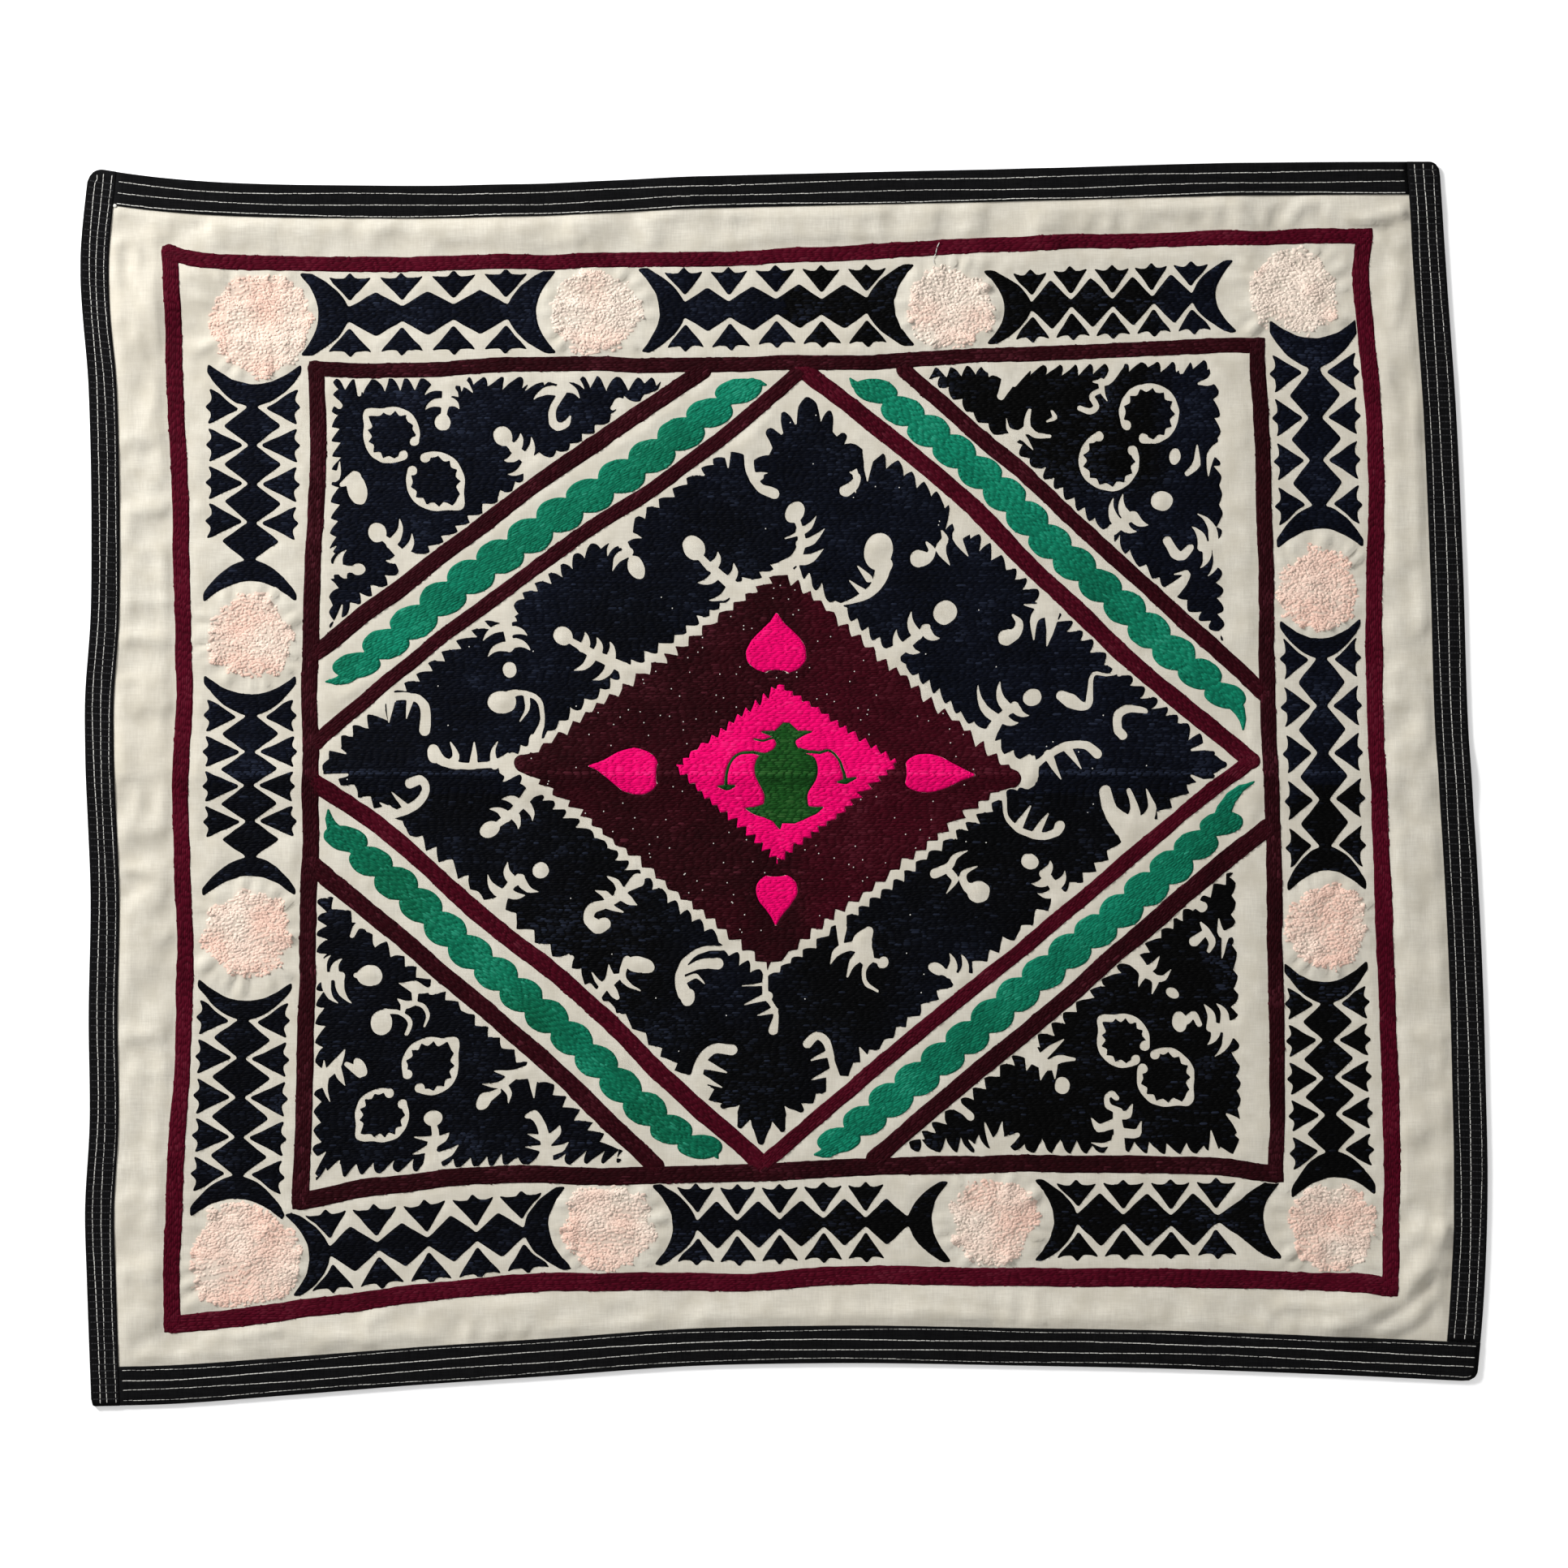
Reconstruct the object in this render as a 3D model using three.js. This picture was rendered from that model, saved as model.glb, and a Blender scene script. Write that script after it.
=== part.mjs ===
import * as THREE from 'three';

// Embroidered tablecloth laid out flat: one cotton ground sheet with four folded black binding strips.
// Millimetres, +Z up. The origin is under the middle of the cloth, on the surface that it rests on.

// Size of the rectangle that the uneven cloth just fits in
const clothWidth = 1538;
const clothLength = 1360;

// Thickness of the layers, and the gap kept between one layer and the next
const groundThick = 1.2;
const bindingThick = 1.0;
const layerGap = 0.3;

// Width of each binding strip on the face of the cloth
const bindingWidth = { left: 32, right: 37, top: 37, bottom: 43 };

// How far the outer fold of a binding is rounded off
const foldRounding = 0.9;

// Raw edge of the ground inside the fold, and the slope down from the binding to the surface
const rawEdgeInset = bindingThick + layerGap + 0.2;
const slopeWidth = 24;

// Longest step of the sheet's facets
const facetStep = 42;

// Place of the storage crease that crosses the middle of the cloth
const creaseAlong = 10;

// How far each edge of the cloth stands in from the rectangle. "along" runs left to right on the
// bottom and top edges, and bottom to top on the left and right edges.
const edgeRows = {
  left: [
    { along: -680, inset: 12 },
    { along: -540, inset: 7 },
    { along: -470, inset: 5 },
    { along: -370, inset: 10 },
    { along: -255, inset: 9 },
    { along: -115, inset: 11 },
    { along: -10, inset: 7 },
    { along: 95, inset: 5 },
    { along: 185, inset: 11 },
    { along: 275, inset: 12 },
    { along: 435, inset: 9 },
    { along: 580, inset: 0 },
    { along: 680, inset: 9 },
  ],
  right: [
    { along: -680, inset: 12 },
    { along: -600, inset: 5 },
    { along: -460, inset: 0 },
    { along: -350, inset: 2 },
    { along: -240, inset: 5 },
    { along: -95, inset: 12 },
    { along: 45, inset: 21 },
    { along: 230, inset: 27 },
    { along: 410, inset: 35 },
    { along: 540, inset: 44 },
    { along: 680, inset: 53 },
  ],
  bottom: [
    { along: -769, inset: 0 },
    { along: -690, inset: 2 },
    { along: -550, inset: 12 },
    { along: -410, inset: 23 },
    { along: -260, inset: 33 },
    { along: -100, inset: 44 },
    { along: 45, inset: 47 },
    { along: 280, inset: 44 },
    { along: 425, inset: 41 },
    { along: 570, inset: 36 },
    { along: 769, inset: 27 },
  ],
  top: [
    { along: -769, inset: 6 },
    { along: -730, inset: 12 },
    { along: -430, inset: 26 },
    { along: -260, inset: 24 },
    { along: -75, inset: 16 },
    { along: 85, inset: 12 },
    { along: 315, inset: 7 },
    { along: 495, inset: 2 },
    { along: 735, inset: 0 },
    { along: 769, inset: 0 },
  ],
};

// Soft folds where the cloth stands off the surface: a ridge line from one end to the other,
// its height, and how far it reaches to each side
const folds = [
  { name: 'storage crease', from: [-780, 10], to: [780, 10], height: 2.6, reach: 46 },
  { name: 'upper left corner', from: [-722, 500], to: [-640, 560], height: 4.2, reach: 50 },
  { name: 'top margin, first swell', from: [-318, 640], to: [-300, 585], height: 2.8, reach: 52 },
  { name: 'top margin, second swell', from: [-212, 640], to: [-222, 588], height: 2.2, reach: 48 },
  { name: 'top margin, third swell', from: [-112, 645], to: [-96, 590], height: 3.0, reach: 54 },
  { name: 'top margin, right pleat', from: [268, 650], to: [292, 600], height: 2.4, reach: 44 },
  { name: 'top margin, far right pleat', from: [488, 655], to: [505, 606], height: 2.2, reach: 44 },
  { name: 'right margin bulge', from: [650, 452], to: [668, 402], height: 4.0, reach: 48 },
  { name: 'upper right ridge', from: [600, 622], to: [684, 626], height: 3.0, reach: 44 },
  { name: 'lower right ridge', from: [602, -590], to: [720, -490], height: 4.4, reach: 44 },
  { name: 'bottom margin, right pleat', from: [145, -566], to: [282, -590], height: 2.6, reach: 44 },
  { name: 'bottom margin, left pleat', from: [-590, -590], to: [-440, -606], height: 2.8, reach: 44 },
  { name: 'left margin ridge', from: [-668, -360], to: [-694, -566], height: 3.0, reach: 46 },
];

// Inset of an edge at any place along it, smooth between the rows
function edgeInset(rows) {
  const places = rows.map((row) => row.along);
  const insets = rows.map((row) => row.inset);
  const curve = new THREE.CubicInterpolant(places, insets, 1);
  return (along) => Math.max(0, curve.evaluate(along)[0]);
}

const leftInset = edgeInset(edgeRows.left);
const rightInset = edgeInset(edgeRows.right);
const bottomInset = edgeInset(edgeRows.bottom);
const topInset = edgeInset(edgeRows.top);

// Place on the uneven cloth of a point given on the plain rectangle
function placeOnCloth(across, along) {
  const rightShare = across / clothWidth + 0.5;
  const topShare = along / clothLength + 0.5;
  const x = across + (1 - rightShare) * leftInset(along) - rightShare * rightInset(along);
  const y = along + (1 - topShare) * bottomInset(across) - topShare * topInset(across);
  return new THREE.Vector2(x, y);
}

const foldLines = folds.map((fold) => ({
  line: new THREE.Line3(
    new THREE.Vector3(fold.from[0], fold.from[1], 0),
    new THREE.Vector3(fold.to[0], fold.to[1], 0),
  ),
  height: fold.height,
  reach: fold.reach,
}));

// Height of the cloth's underside over the surface: each fold dies out smoothly at its reach,
// and the cloth lies flat everywhere else
function foldHeight(place) {
  const point = new THREE.Vector3(place.x, place.y, 0);
  const nearest = new THREE.Vector3();
  let height = 0;
  for (const fold of foldLines) {
    fold.line.closestPointToPoint(point, true, nearest);
    const share = nearest.distanceTo(point) / fold.reach;
    if (share < 1) {
      height = Math.max(height, fold.height * (1 - share * share) ** 2);
    }
  }
  return height;
}

// Closed solid collected from points and four-cornered facets. Every facet is split along the same
// diagonal of the plain rectangle, so that the layers of cloth keep an even gap between them.
class FacetedSolid {
  constructor() {
    this.positions = [];
    this.diagonals = [];
    this.triangles = [];
  }

  addPoint(across, along, rise) {
    const place = placeOnCloth(across, along);
    this.positions.push(place.x, place.y, foldHeight(place) + rise);
    this.diagonals.push(across + along);
    return this.diagonals.length - 1;
  }

  addFacet(a, b, c, d) {
    const spanAC = Math.abs(this.diagonals[a] - this.diagonals[c]);
    const spanBD = Math.abs(this.diagonals[b] - this.diagonals[d]);
    if (spanAC >= spanBD) {
      this.triangles.push(a, b, c, a, c, d);
    } else {
      this.triangles.push(a, b, d, b, c, d);
    }
  }

  toMesh(name, material) {
    const geometry = new THREE.BufferGeometry();
    geometry.setAttribute('position', new THREE.Float32BufferAttribute(this.positions, 3));
    geometry.setIndex(this.triangles);
    geometry.computeVertexNormals();
    const mesh = new THREE.Mesh(geometry, material);
    mesh.name = name;
    return mesh;
  }
}

// Even steps from one place to another, no longer than the facet step, without the last place
function evenSteps(from, to) {
  const count = Math.ceil((to - from) / facetStep);
  return Array.from({ length: count }, (unused, step) => from + ((to - from) * step) / count);
}

// Lines of the rectangle that the facets follow across and along the cloth
const innerLeft = -clothWidth / 2 + bindingWidth.left;
const innerRight = clothWidth / 2 - bindingWidth.right;
const innerBottom = -clothLength / 2 + bindingWidth.bottom;
const innerTop = clothLength / 2 - bindingWidth.top;

const insideColumns = [
  innerLeft,
  ...evenSteps(innerLeft + slopeWidth, innerRight - slopeWidth),
  innerRight - slopeWidth,
  innerRight,
];
const insideRows = [
  innerBottom,
  ...evenSteps(innerBottom + slopeWidth, creaseAlong),
  ...evenSteps(creaseAlong, innerTop - slopeWidth),
  innerTop - slopeWidth,
  innerTop,
];

// The ground stands on the lower layer of the bindings at its rim, and on the surface inside
const rimRise = bindingThick + layerGap;

function groundRise(column, row) {
  const overRim = column <= innerLeft || column >= innerRight || row <= innerBottom || row >= innerTop;
  return overRim ? rimRise : 0;
}

function groundCloth() {
  const solid = new FacetedSolid();
  const columns = [
    -clothWidth / 2 + rawEdgeInset,
    ...insideColumns,
    clothWidth / 2 - rawEdgeInset,
  ];
  const rows = [
    -clothLength / 2 + rawEdgeInset,
    ...insideRows,
    clothLength / 2 - rawEdgeInset,
  ];
  const layer = (thickness) => rows.map((row) => columns.map(
    (column) => solid.addPoint(column, row, groundRise(column, row) + thickness),
  ));
  const under = layer(0);
  const face = layer(groundThick);
  const lastRow = rows.length - 1;
  const lastColumn = columns.length - 1;
  for (let j = 0; j < lastRow; j += 1) {
    for (let i = 0; i < lastColumn; i += 1) {
      solid.addFacet(face[j][i], face[j][i + 1], face[j + 1][i + 1], face[j + 1][i]);
      solid.addFacet(under[j][i], under[j + 1][i], under[j + 1][i + 1], under[j][i + 1]);
    }
  }
  for (let i = 0; i < lastColumn; i += 1) {
    solid.addFacet(under[0][i], under[0][i + 1], face[0][i + 1], face[0][i]);
    solid.addFacet(under[lastRow][i + 1], under[lastRow][i], face[lastRow][i], face[lastRow][i + 1]);
  }
  for (let j = 0; j < lastRow; j += 1) {
    solid.addFacet(under[j + 1][0], under[j][0], face[j][0], face[j + 1][0]);
    solid.addFacet(under[j][lastColumn], under[j + 1][lastColumn], face[j + 1][lastColumn], face[j][lastColumn]);
  }
  return solid;
}

// Section of a binding folded round the raw edge: distance in from the outer edge, and height
function bindingSection(width) {
  const upperLayer = rimRise + groundThick + layerGap;
  const top = upperLayer + bindingThick;
  return [
    { inward: foldRounding, height: 0 },
    { inward: width, height: 0 },
    { inward: width, height: bindingThick },
    { inward: bindingThick, height: bindingThick },
    { inward: bindingThick, height: upperLayer },
    { inward: width, height: upperLayer },
    { inward: width, height: top },
    { inward: foldRounding, height: top },
    { inward: 0, height: top - foldRounding },
    { inward: 0, height: foldRounding },
  ];
}

// Four-cornered pieces that close the end of a binding's section
const endFacets = [
  [0, 1, 2, 3],
  [9, 0, 3, 4],
  [8, 9, 4, 7],
  [7, 4, 5, 6],
];

// A binding runs through stations along its edge. "place" turns a station and a distance in from
// the outer edge into a point of the rectangle, and "turned" says that the section runs clockwise.
function bindingStrip(stations, width, place, turned) {
  const solid = new FacetedSolid();
  const section = bindingSection(width);
  const loops = stations.map((station) => section.map((corner) => {
    const [across, along] = place(station, corner.inward);
    return solid.addPoint(across, along, corner.height);
  }));
  const facet = (a, b, c, d) => (turned ? solid.addFacet(d, c, b, a) : solid.addFacet(a, b, c, d));
  for (let k = 0; k < loops.length - 1; k += 1) {
    for (let p = 0; p < section.length; p += 1) {
      const q = (p + 1) % section.length;
      facet(loops[k][q], loops[k][p], loops[k + 1][p], loops[k + 1][q]);
    }
  }
  const first = loops[0];
  const last = loops[loops.length - 1];
  for (const [a, b, c, d] of endFacets) {
    facet(first[a], first[b], first[c], first[d]);
    facet(last[d], last[c], last[b], last[a]);
  }
  return solid;
}

// Butted corners: the left strip runs the whole height, the bottom strip from it to the right edge,
// the right strip from there to the top edge, and the top strip lies between left and right
const leftStations = [-clothLength / 2, ...insideRows, clothLength / 2];
const rightStations = [innerBottom + layerGap, ...insideRows.slice(1), clothLength / 2];
const bottomStations = [innerLeft + layerGap, ...insideColumns.slice(1), clothWidth / 2];
const topStations = [innerLeft + layerGap, ...insideColumns.slice(1, -1), innerRight - layerGap];

const bindings = [
  {
    name: 'binding_left',
    solid: bindingStrip(leftStations, bindingWidth.left, (s, inward) => [inward - clothWidth / 2, s], false),
  },
  {
    name: 'binding_right',
    solid: bindingStrip(rightStations, bindingWidth.right, (s, inward) => [clothWidth / 2 - inward, s], true),
  },
  {
    name: 'binding_bottom',
    solid: bindingStrip(bottomStations, bindingWidth.bottom, (s, inward) => [s, inward - clothLength / 2], true),
  },
  {
    name: 'binding_top',
    solid: bindingStrip(topStations, bindingWidth.top, (s, inward) => [s, clothLength / 2 - inward], false),
  },
];

const groundCotton = new THREE.MeshStandardMaterial({ color: 0xe2d8cb, roughness: 0.9, metalness: 0 });
const bindingCotton = new THREE.MeshStandardMaterial({ color: 0x121216, roughness: 0.85, metalness: 0 });

const tablecloth = new THREE.Group();
tablecloth.add(groundCloth().toMesh('ground_cloth', groundCotton));
for (const binding of bindings) {
  tablecloth.add(binding.solid.toMesh(binding.name, bindingCotton));
}

export default tablecloth;
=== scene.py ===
import math
import bpy
import numpy as np
from mathutils.geometry import delaunay_2d_cdt
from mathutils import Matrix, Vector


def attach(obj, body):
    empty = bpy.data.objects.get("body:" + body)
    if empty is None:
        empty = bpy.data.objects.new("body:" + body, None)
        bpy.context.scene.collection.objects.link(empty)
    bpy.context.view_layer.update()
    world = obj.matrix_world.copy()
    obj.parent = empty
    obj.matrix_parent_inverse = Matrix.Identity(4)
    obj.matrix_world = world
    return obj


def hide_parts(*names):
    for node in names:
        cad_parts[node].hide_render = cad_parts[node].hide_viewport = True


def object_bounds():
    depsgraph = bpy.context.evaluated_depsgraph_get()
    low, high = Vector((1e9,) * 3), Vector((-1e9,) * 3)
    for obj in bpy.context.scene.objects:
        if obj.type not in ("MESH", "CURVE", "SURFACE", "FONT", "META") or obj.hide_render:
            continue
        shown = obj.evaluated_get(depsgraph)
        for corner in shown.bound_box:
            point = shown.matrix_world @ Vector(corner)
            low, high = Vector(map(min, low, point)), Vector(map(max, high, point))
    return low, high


# Embroidered tablecloth laid out flat and seen from above. Sizes are in mm, on the frame of the
# solids: x to the right, y up the cloth, z up from the surface that it rests on.
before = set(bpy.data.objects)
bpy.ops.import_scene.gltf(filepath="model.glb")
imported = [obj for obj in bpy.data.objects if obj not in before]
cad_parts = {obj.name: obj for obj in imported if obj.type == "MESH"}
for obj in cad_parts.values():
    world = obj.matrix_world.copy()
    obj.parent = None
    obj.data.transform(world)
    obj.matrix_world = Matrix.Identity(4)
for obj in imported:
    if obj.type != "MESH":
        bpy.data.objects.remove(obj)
cadLow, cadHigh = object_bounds()
mm = 0.001
scene = bpy.context.scene
print("frame loaded:", sorted(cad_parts))


# Canvas: every motif is first a field over the cloth, in mm above zero inside the motif

canvas = {"step": 1.0, "halfWidth": 776, "halfLength": 688, "handWave": 1.5, "handTremble": 0.55}
columnX = np.arange(-canvas["halfWidth"], canvas["halfWidth"] + 0.5, canvas["step"])
rowY = np.arange(-canvas["halfLength"], canvas["halfLength"] + 0.5, canvas["step"])
gridX, gridY = np.meshgrid(columnX, rowY)


def softNoise(lump, seed, spreadY=1.0):
    # smooth random swell over the canvas, from -1 to 1, its lumps about that many mm across
    random = np.random.default_rng(seed)
    acrossX = (columnX - columnX[0]) / lump
    acrossY = (rowY - rowY[0]) / (lump * spreadY)
    knots = random.uniform(-1, 1, (int(acrossY[-1]) + 2, int(acrossX[-1]) + 2))
    left, low = acrossX.astype(int), acrossY.astype(int)
    shareX, shareY = acrossX - left, acrossY - low
    shareX = shareX * shareX * (3 - 2 * shareX)
    shareY = (shareY * shareY * (3 - 2 * shareY))[:, None]
    below = knots[low][:, left] * (1 - shareX) + knots[low][:, left + 1] * shareX
    above = knots[low + 1][:, left] * (1 - shareX) + knots[low + 1][:, left + 1] * shareX
    return below * (1 - shareY) + above * shareY


def sampleAt(field, x, y):
    # value of a canvas field at any places, linear between the canvas points
    placeX = np.clip((x - columnX[0]) / canvas["step"], 0, len(columnX) - 1.001)
    placeY = np.clip((y - rowY[0]) / canvas["step"], 0, len(rowY) - 1.001)
    left, low = placeX.astype(int), placeY.astype(int)
    shareX, shareY = placeX - left, placeY - low
    below = field[low, left] * (1 - shareX) + field[low, left + 1] * shareX
    above = field[low + 1, left] * (1 - shareX) + field[low + 1, left + 1] * shareX
    return below * (1 - shareY) + above * shareY


# hand-drawn lines are never quite true: motifs are drawn on these shaken coordinates
handX = gridX + canvas["handWave"] * softNoise(52, 11) + canvas["handTremble"] * softNoise(8, 12)
handY = gridY + canvas["handWave"] * softNoise(52, 13) + canvas["handTremble"] * softNoise(8, 14)
edgeSwell = softNoise(26, 15)  # how much deeper or flatter a toothed edge is, place by place
edgeDrift = softNoise(34, 16)  # how far its teeth are off their even spacing
edgeLean = softNoise(95, 17)  # which way they lean


farOutside = -60.0  # value of a field away from all motifs


def blankField():
    return np.full(gridX.shape, farOutside)


def windowRound(points, margin):
    # part of the canvas that holds these points
    points = np.asarray(points, float)
    low, high = points.min(0) - margin - 5, points.max(0) + margin + 5
    columns = np.clip(((low[0], high[0]) - columnX[0]) / canvas["step"], 0, len(columnX)).astype(int)
    rows = np.clip(((low[1], high[1]) - rowY[0]) / canvas["step"], 0, len(rowY)).astype(int)
    return slice(*rows), slice(*columns)


def add(field, shape):
    window, inside = shape
    field[window] = np.maximum(field[window], inside)


def cut(field, shape):
    window, inside = shape
    field[window] = np.minimum(field[window], -inside)


def curve(start, end, bend=0.0, count=9):
    # points of a bow from start to end; bend is its height to the left as a share of its length
    start, end = np.asarray(start, float), np.asarray(end, float)
    share = np.linspace(0, 1, count)[:, None]
    run = end - start
    left = np.array([-run[1], run[0]])
    return start + run * share + left * bend * 4 * share * (1 - share)


def smoothStep(share, start, end, slopeStart, slopeEnd):
    # way from one value to the next, with the slope given at both
    square, cube = share ** 2, share ** 3
    return ((2 * cube - 3 * square + 1) * start + (cube - 2 * square + share) * slopeStart
            + (3 * square - 2 * cube) * end + (cube - square) * slopeEnd)


def smoothLine(points, steps):
    # rounded line through a few points
    points = np.asarray(points, float)
    ends = np.vstack([2 * points[0] - points[1], points, 2 * points[-1] - points[-2]])
    share = np.linspace(0, 1, steps, endpoint=False)[:, None]
    line = [smoothStep(share, start, end, (end - before) / 2, (after - start) / 2)
            for before, start, end, after in zip(ends, ends[1:], ends[2:], ends[3:])]
    return np.vstack(line + [points[-1:]])


def besideSegment(x, y, start, end):
    # share passed of a straight piece of line, and the distance from it
    (ax, ay), (bx, by) = start, end
    runX, runY = bx - ax, by - ay
    share = ((x - ax) * runX + (y - ay) * runY) / max(runX * runX + runY * runY, 1e-9)
    share = np.clip(share, 0, 1)
    return share, np.hypot(x - ax - share * runX, y - ay - share * runY)


def stroke(points, halfWidths):
    # line of changing width; halfWidths are spread evenly along it
    points = np.asarray(points, float)
    widths = np.interp(np.linspace(0, 1, len(points)), np.linspace(0, 1, len(halfWidths)), halfWidths)
    window = windowRound(points, max(halfWidths))
    inside = np.full(handX[window].shape, farOutside)
    for start, end, widthA, widthB in zip(points, points[1:], widths, widths[1:]):
        share, away = besideSegment(handX[window], handY[window], start, end)
        inside = np.maximum(inside, widthA + (widthB - widthA) * share - away)
    return window, inside


def penStroke(rows, steps=0):
    # stroke from rows of (x, y, half width), rounded in that many steps from one to the next
    x, y, halfWidths = np.array(rows, float).T
    line = np.column_stack([x, y])
    return stroke(smoothLine(line, steps) if steps else line, halfWidths)


def blob(centre, long, wide=None, turn=0.0):
    # egg or ball; turn is the angle of its long way, in degrees
    wide = wide or long
    window = windowRound([centre], max(long, wide))
    x, y = handX[window] - centre[0], handY[window] - centre[1]
    cosine, sine = math.cos(math.radians(turn)), math.sin(math.radians(turn))
    reach = np.hypot((x * cosine + y * sine) / long, (y * cosine - x * sine) / wide)
    return window, (1 - reach) * min(long, wide)


def alongAxis(start, end, margin):
    # window round an axis, with the distance along it and the distance to its left
    start, end = np.asarray(start, float), np.asarray(end, float)
    window = windowRound([start, end], margin)
    length = np.linalg.norm(end - start)
    axis = (end - start) / length
    x, y = handX[window] - start[0], handY[window] - start[1]
    return window, x * axis[0] + y * axis[1], y * axis[0] - x * axis[1], length


def profile(start, end, shares, halfWidths):
    # shape that is even about an axis, its half width given at shares of its length
    window, along, aside, length = alongAxis(start, end, max(halfWidths))
    width = smoothThrough(list(zip(shares, halfWidths)), along / length)
    return window, np.minimum(width - np.abs(aside), np.minimum(along, length - along) + 0.4)


def lobes(along, pitch, depth):
    # round lobes with sharp notches between them
    return depth * (np.abs(np.sin(math.pi * along / pitch)) - 1)


def teeth(along, pitch, depth):
    # even pointed teeth
    return depth * (np.abs((along / pitch) % 1 * 2 - 1) - 1)


def leaves(along, pitch, depth):
    # leaf tips: a slow round rise to a point and a quick fall
    tipAt, fullness = 0.64, 0.85
    share = (along / pitch) % 1
    rise = np.sin(np.clip(share / tipAt, 0, 1) * math.pi / 2)
    return depth * (np.minimum(rise, (1 - share) / (1 - tipAt)) ** fullness - 1)


def besideLine(points, x, y):
    # distance to the left of a line and distance passed along it
    nearest, aside, along = np.full(x.shape, 1e9), np.zeros(x.shape), np.zeros(x.shape)
    passed = 0.0
    for (ax, ay), (bx, by) in zip(points, points[1:]):
        runX, runY = bx - ax, by - ay
        length = math.hypot(runX, runY)
        share, away = besideSegment(x, y, (ax, ay), (bx, by))
        closer = away < nearest
        nearest = np.where(closer, away, nearest)
        aside = np.where(closer, ((y - ay) * runX - (x - ax) * runY) / length, aside)
        along = np.where(closer, passed + share * length, along)
        passed += length
    return aside, along


edging = {"margin": 12, "bayReach": 34, "bayDepth": 0.8, "baySpread": 0.85, "lean": 0.9, "leanPast": 3,
          "drift": 0.3, "swell": 0.55}


def edgedField(edges, bays=(), anySide=False):
    # field to the left of all its edges, or of any; an edge is (line, kind, pitch, depth, gap from the line)
    # and falls back round every bay, which is (place, size)
    window = windowRound(np.vstack([edge[0] for edge in edges]), edging["margin"])
    inside = None
    for line, kind, pitch, depth, gap in edges:
        aside, along = besideLine(line, handX[window], handY[window])
        reach = aside - gap
        for (x, y), size in bays:
            bayAside, bayAlong = besideLine(line, np.array([x], float), np.array([y], float))
            if abs(bayAside[0]) < edging["bayReach"]:
                fromBay = (along - bayAlong[0]) / (edging["baySpread"] * size)
                reach = reach - edging["bayDepth"] * size * np.exp(-fromBay ** 2)
        past = edging["leanPast"]
        leaning = edging["lean"] * edgeLean[window] * np.clip(reach, -past, depth + past)
        wave = kind(along + leaning + edging["drift"] * pitch * edgeDrift[window], pitch, depth)
        beyond = reach + wave * (1 + edging["swell"] * edgeSwell[window])
        if inside is None:
            inside = beyond
        else:
            inside = np.maximum(inside, beyond) if anySide else np.minimum(inside, beyond)
    return window, inside


# Cloth form: outline, folds and fine creases, as the solids have them and finer

cloth = {
    "width": (cadHigh.x - cadLow.x) / mm, "length": (cadHigh.y - cadLow.y) / mm, "thick": 1.2,
    "bindingThick": 1.0, "layerGap": 0.3, "slope": 24, "rawEdgeIn": 1.5, "faceStep": 5.0, "underEvery": 4,
}
bindingWidth = {"left": 32, "right": 37, "top": 37, "bottom": 43}
cornerRound = {(-1, 1): 18, (1, 1): 12, (1, -1): 13, (-1, -1): 5}  # radius at (side across, side along)
rimRise = cloth["bindingThick"] + cloth["layerGap"]

# (place along the edge, how far the edge stands in from the plain rectangle)
edgeRows = {
    "left": [(-680, 12), (-540, 7), (-470, 5), (-370, 10), (-255, 9), (-115, 11), (-10, 7), (95, 5),
             (185, 11), (275, 12), (435, 9), (580, 0), (680, 9)],
    "right": [(-680, 12), (-600, 5), (-460, 0), (-350, 2), (-240, 5), (-95, 12), (45, 21), (230, 27),
              (410, 35), (540, 44), (680, 53)],
    "bottom": [(-769, 0), (-690, 2), (-550, 12), (-410, 23), (-260, 33), (-100, 44), (45, 47), (280, 44),
               (425, 41), (570, 36), (769, 27)],
    "top": [(-769, 6), (-730, 12), (-430, 26), (-260, 24), (-75, 16), (85, 12), (315, 7), (495, 2),
            (735, 0), (769, 0)],
}

# soft folds of the solids: (from, to, height, reach to each side)
folds = [
    ((-780, 10), (780, 10), 2.6, 46), ((-722, 500), (-640, 560), 4.2, 50),
    ((-318, 640), (-300, 585), 2.8, 52), ((-212, 640), (-222, 588), 2.2, 48),
    ((-112, 645), (-96, 590), 3.0, 54), ((268, 650), (292, 600), 2.4, 44),
    ((488, 655), (505, 606), 2.2, 44), ((650, 452), (668, 402), 4.0, 48),
    ((600, 622), (684, 626), 3.0, 44), ((602, -590), (720, -490), 4.4, 44),
    ((145, -566), (282, -590), 2.6, 44), ((-590, -590), (-440, -606), 2.8, 44),
    ((-668, -360), (-694, -566), 3.0, 46),
]

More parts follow.
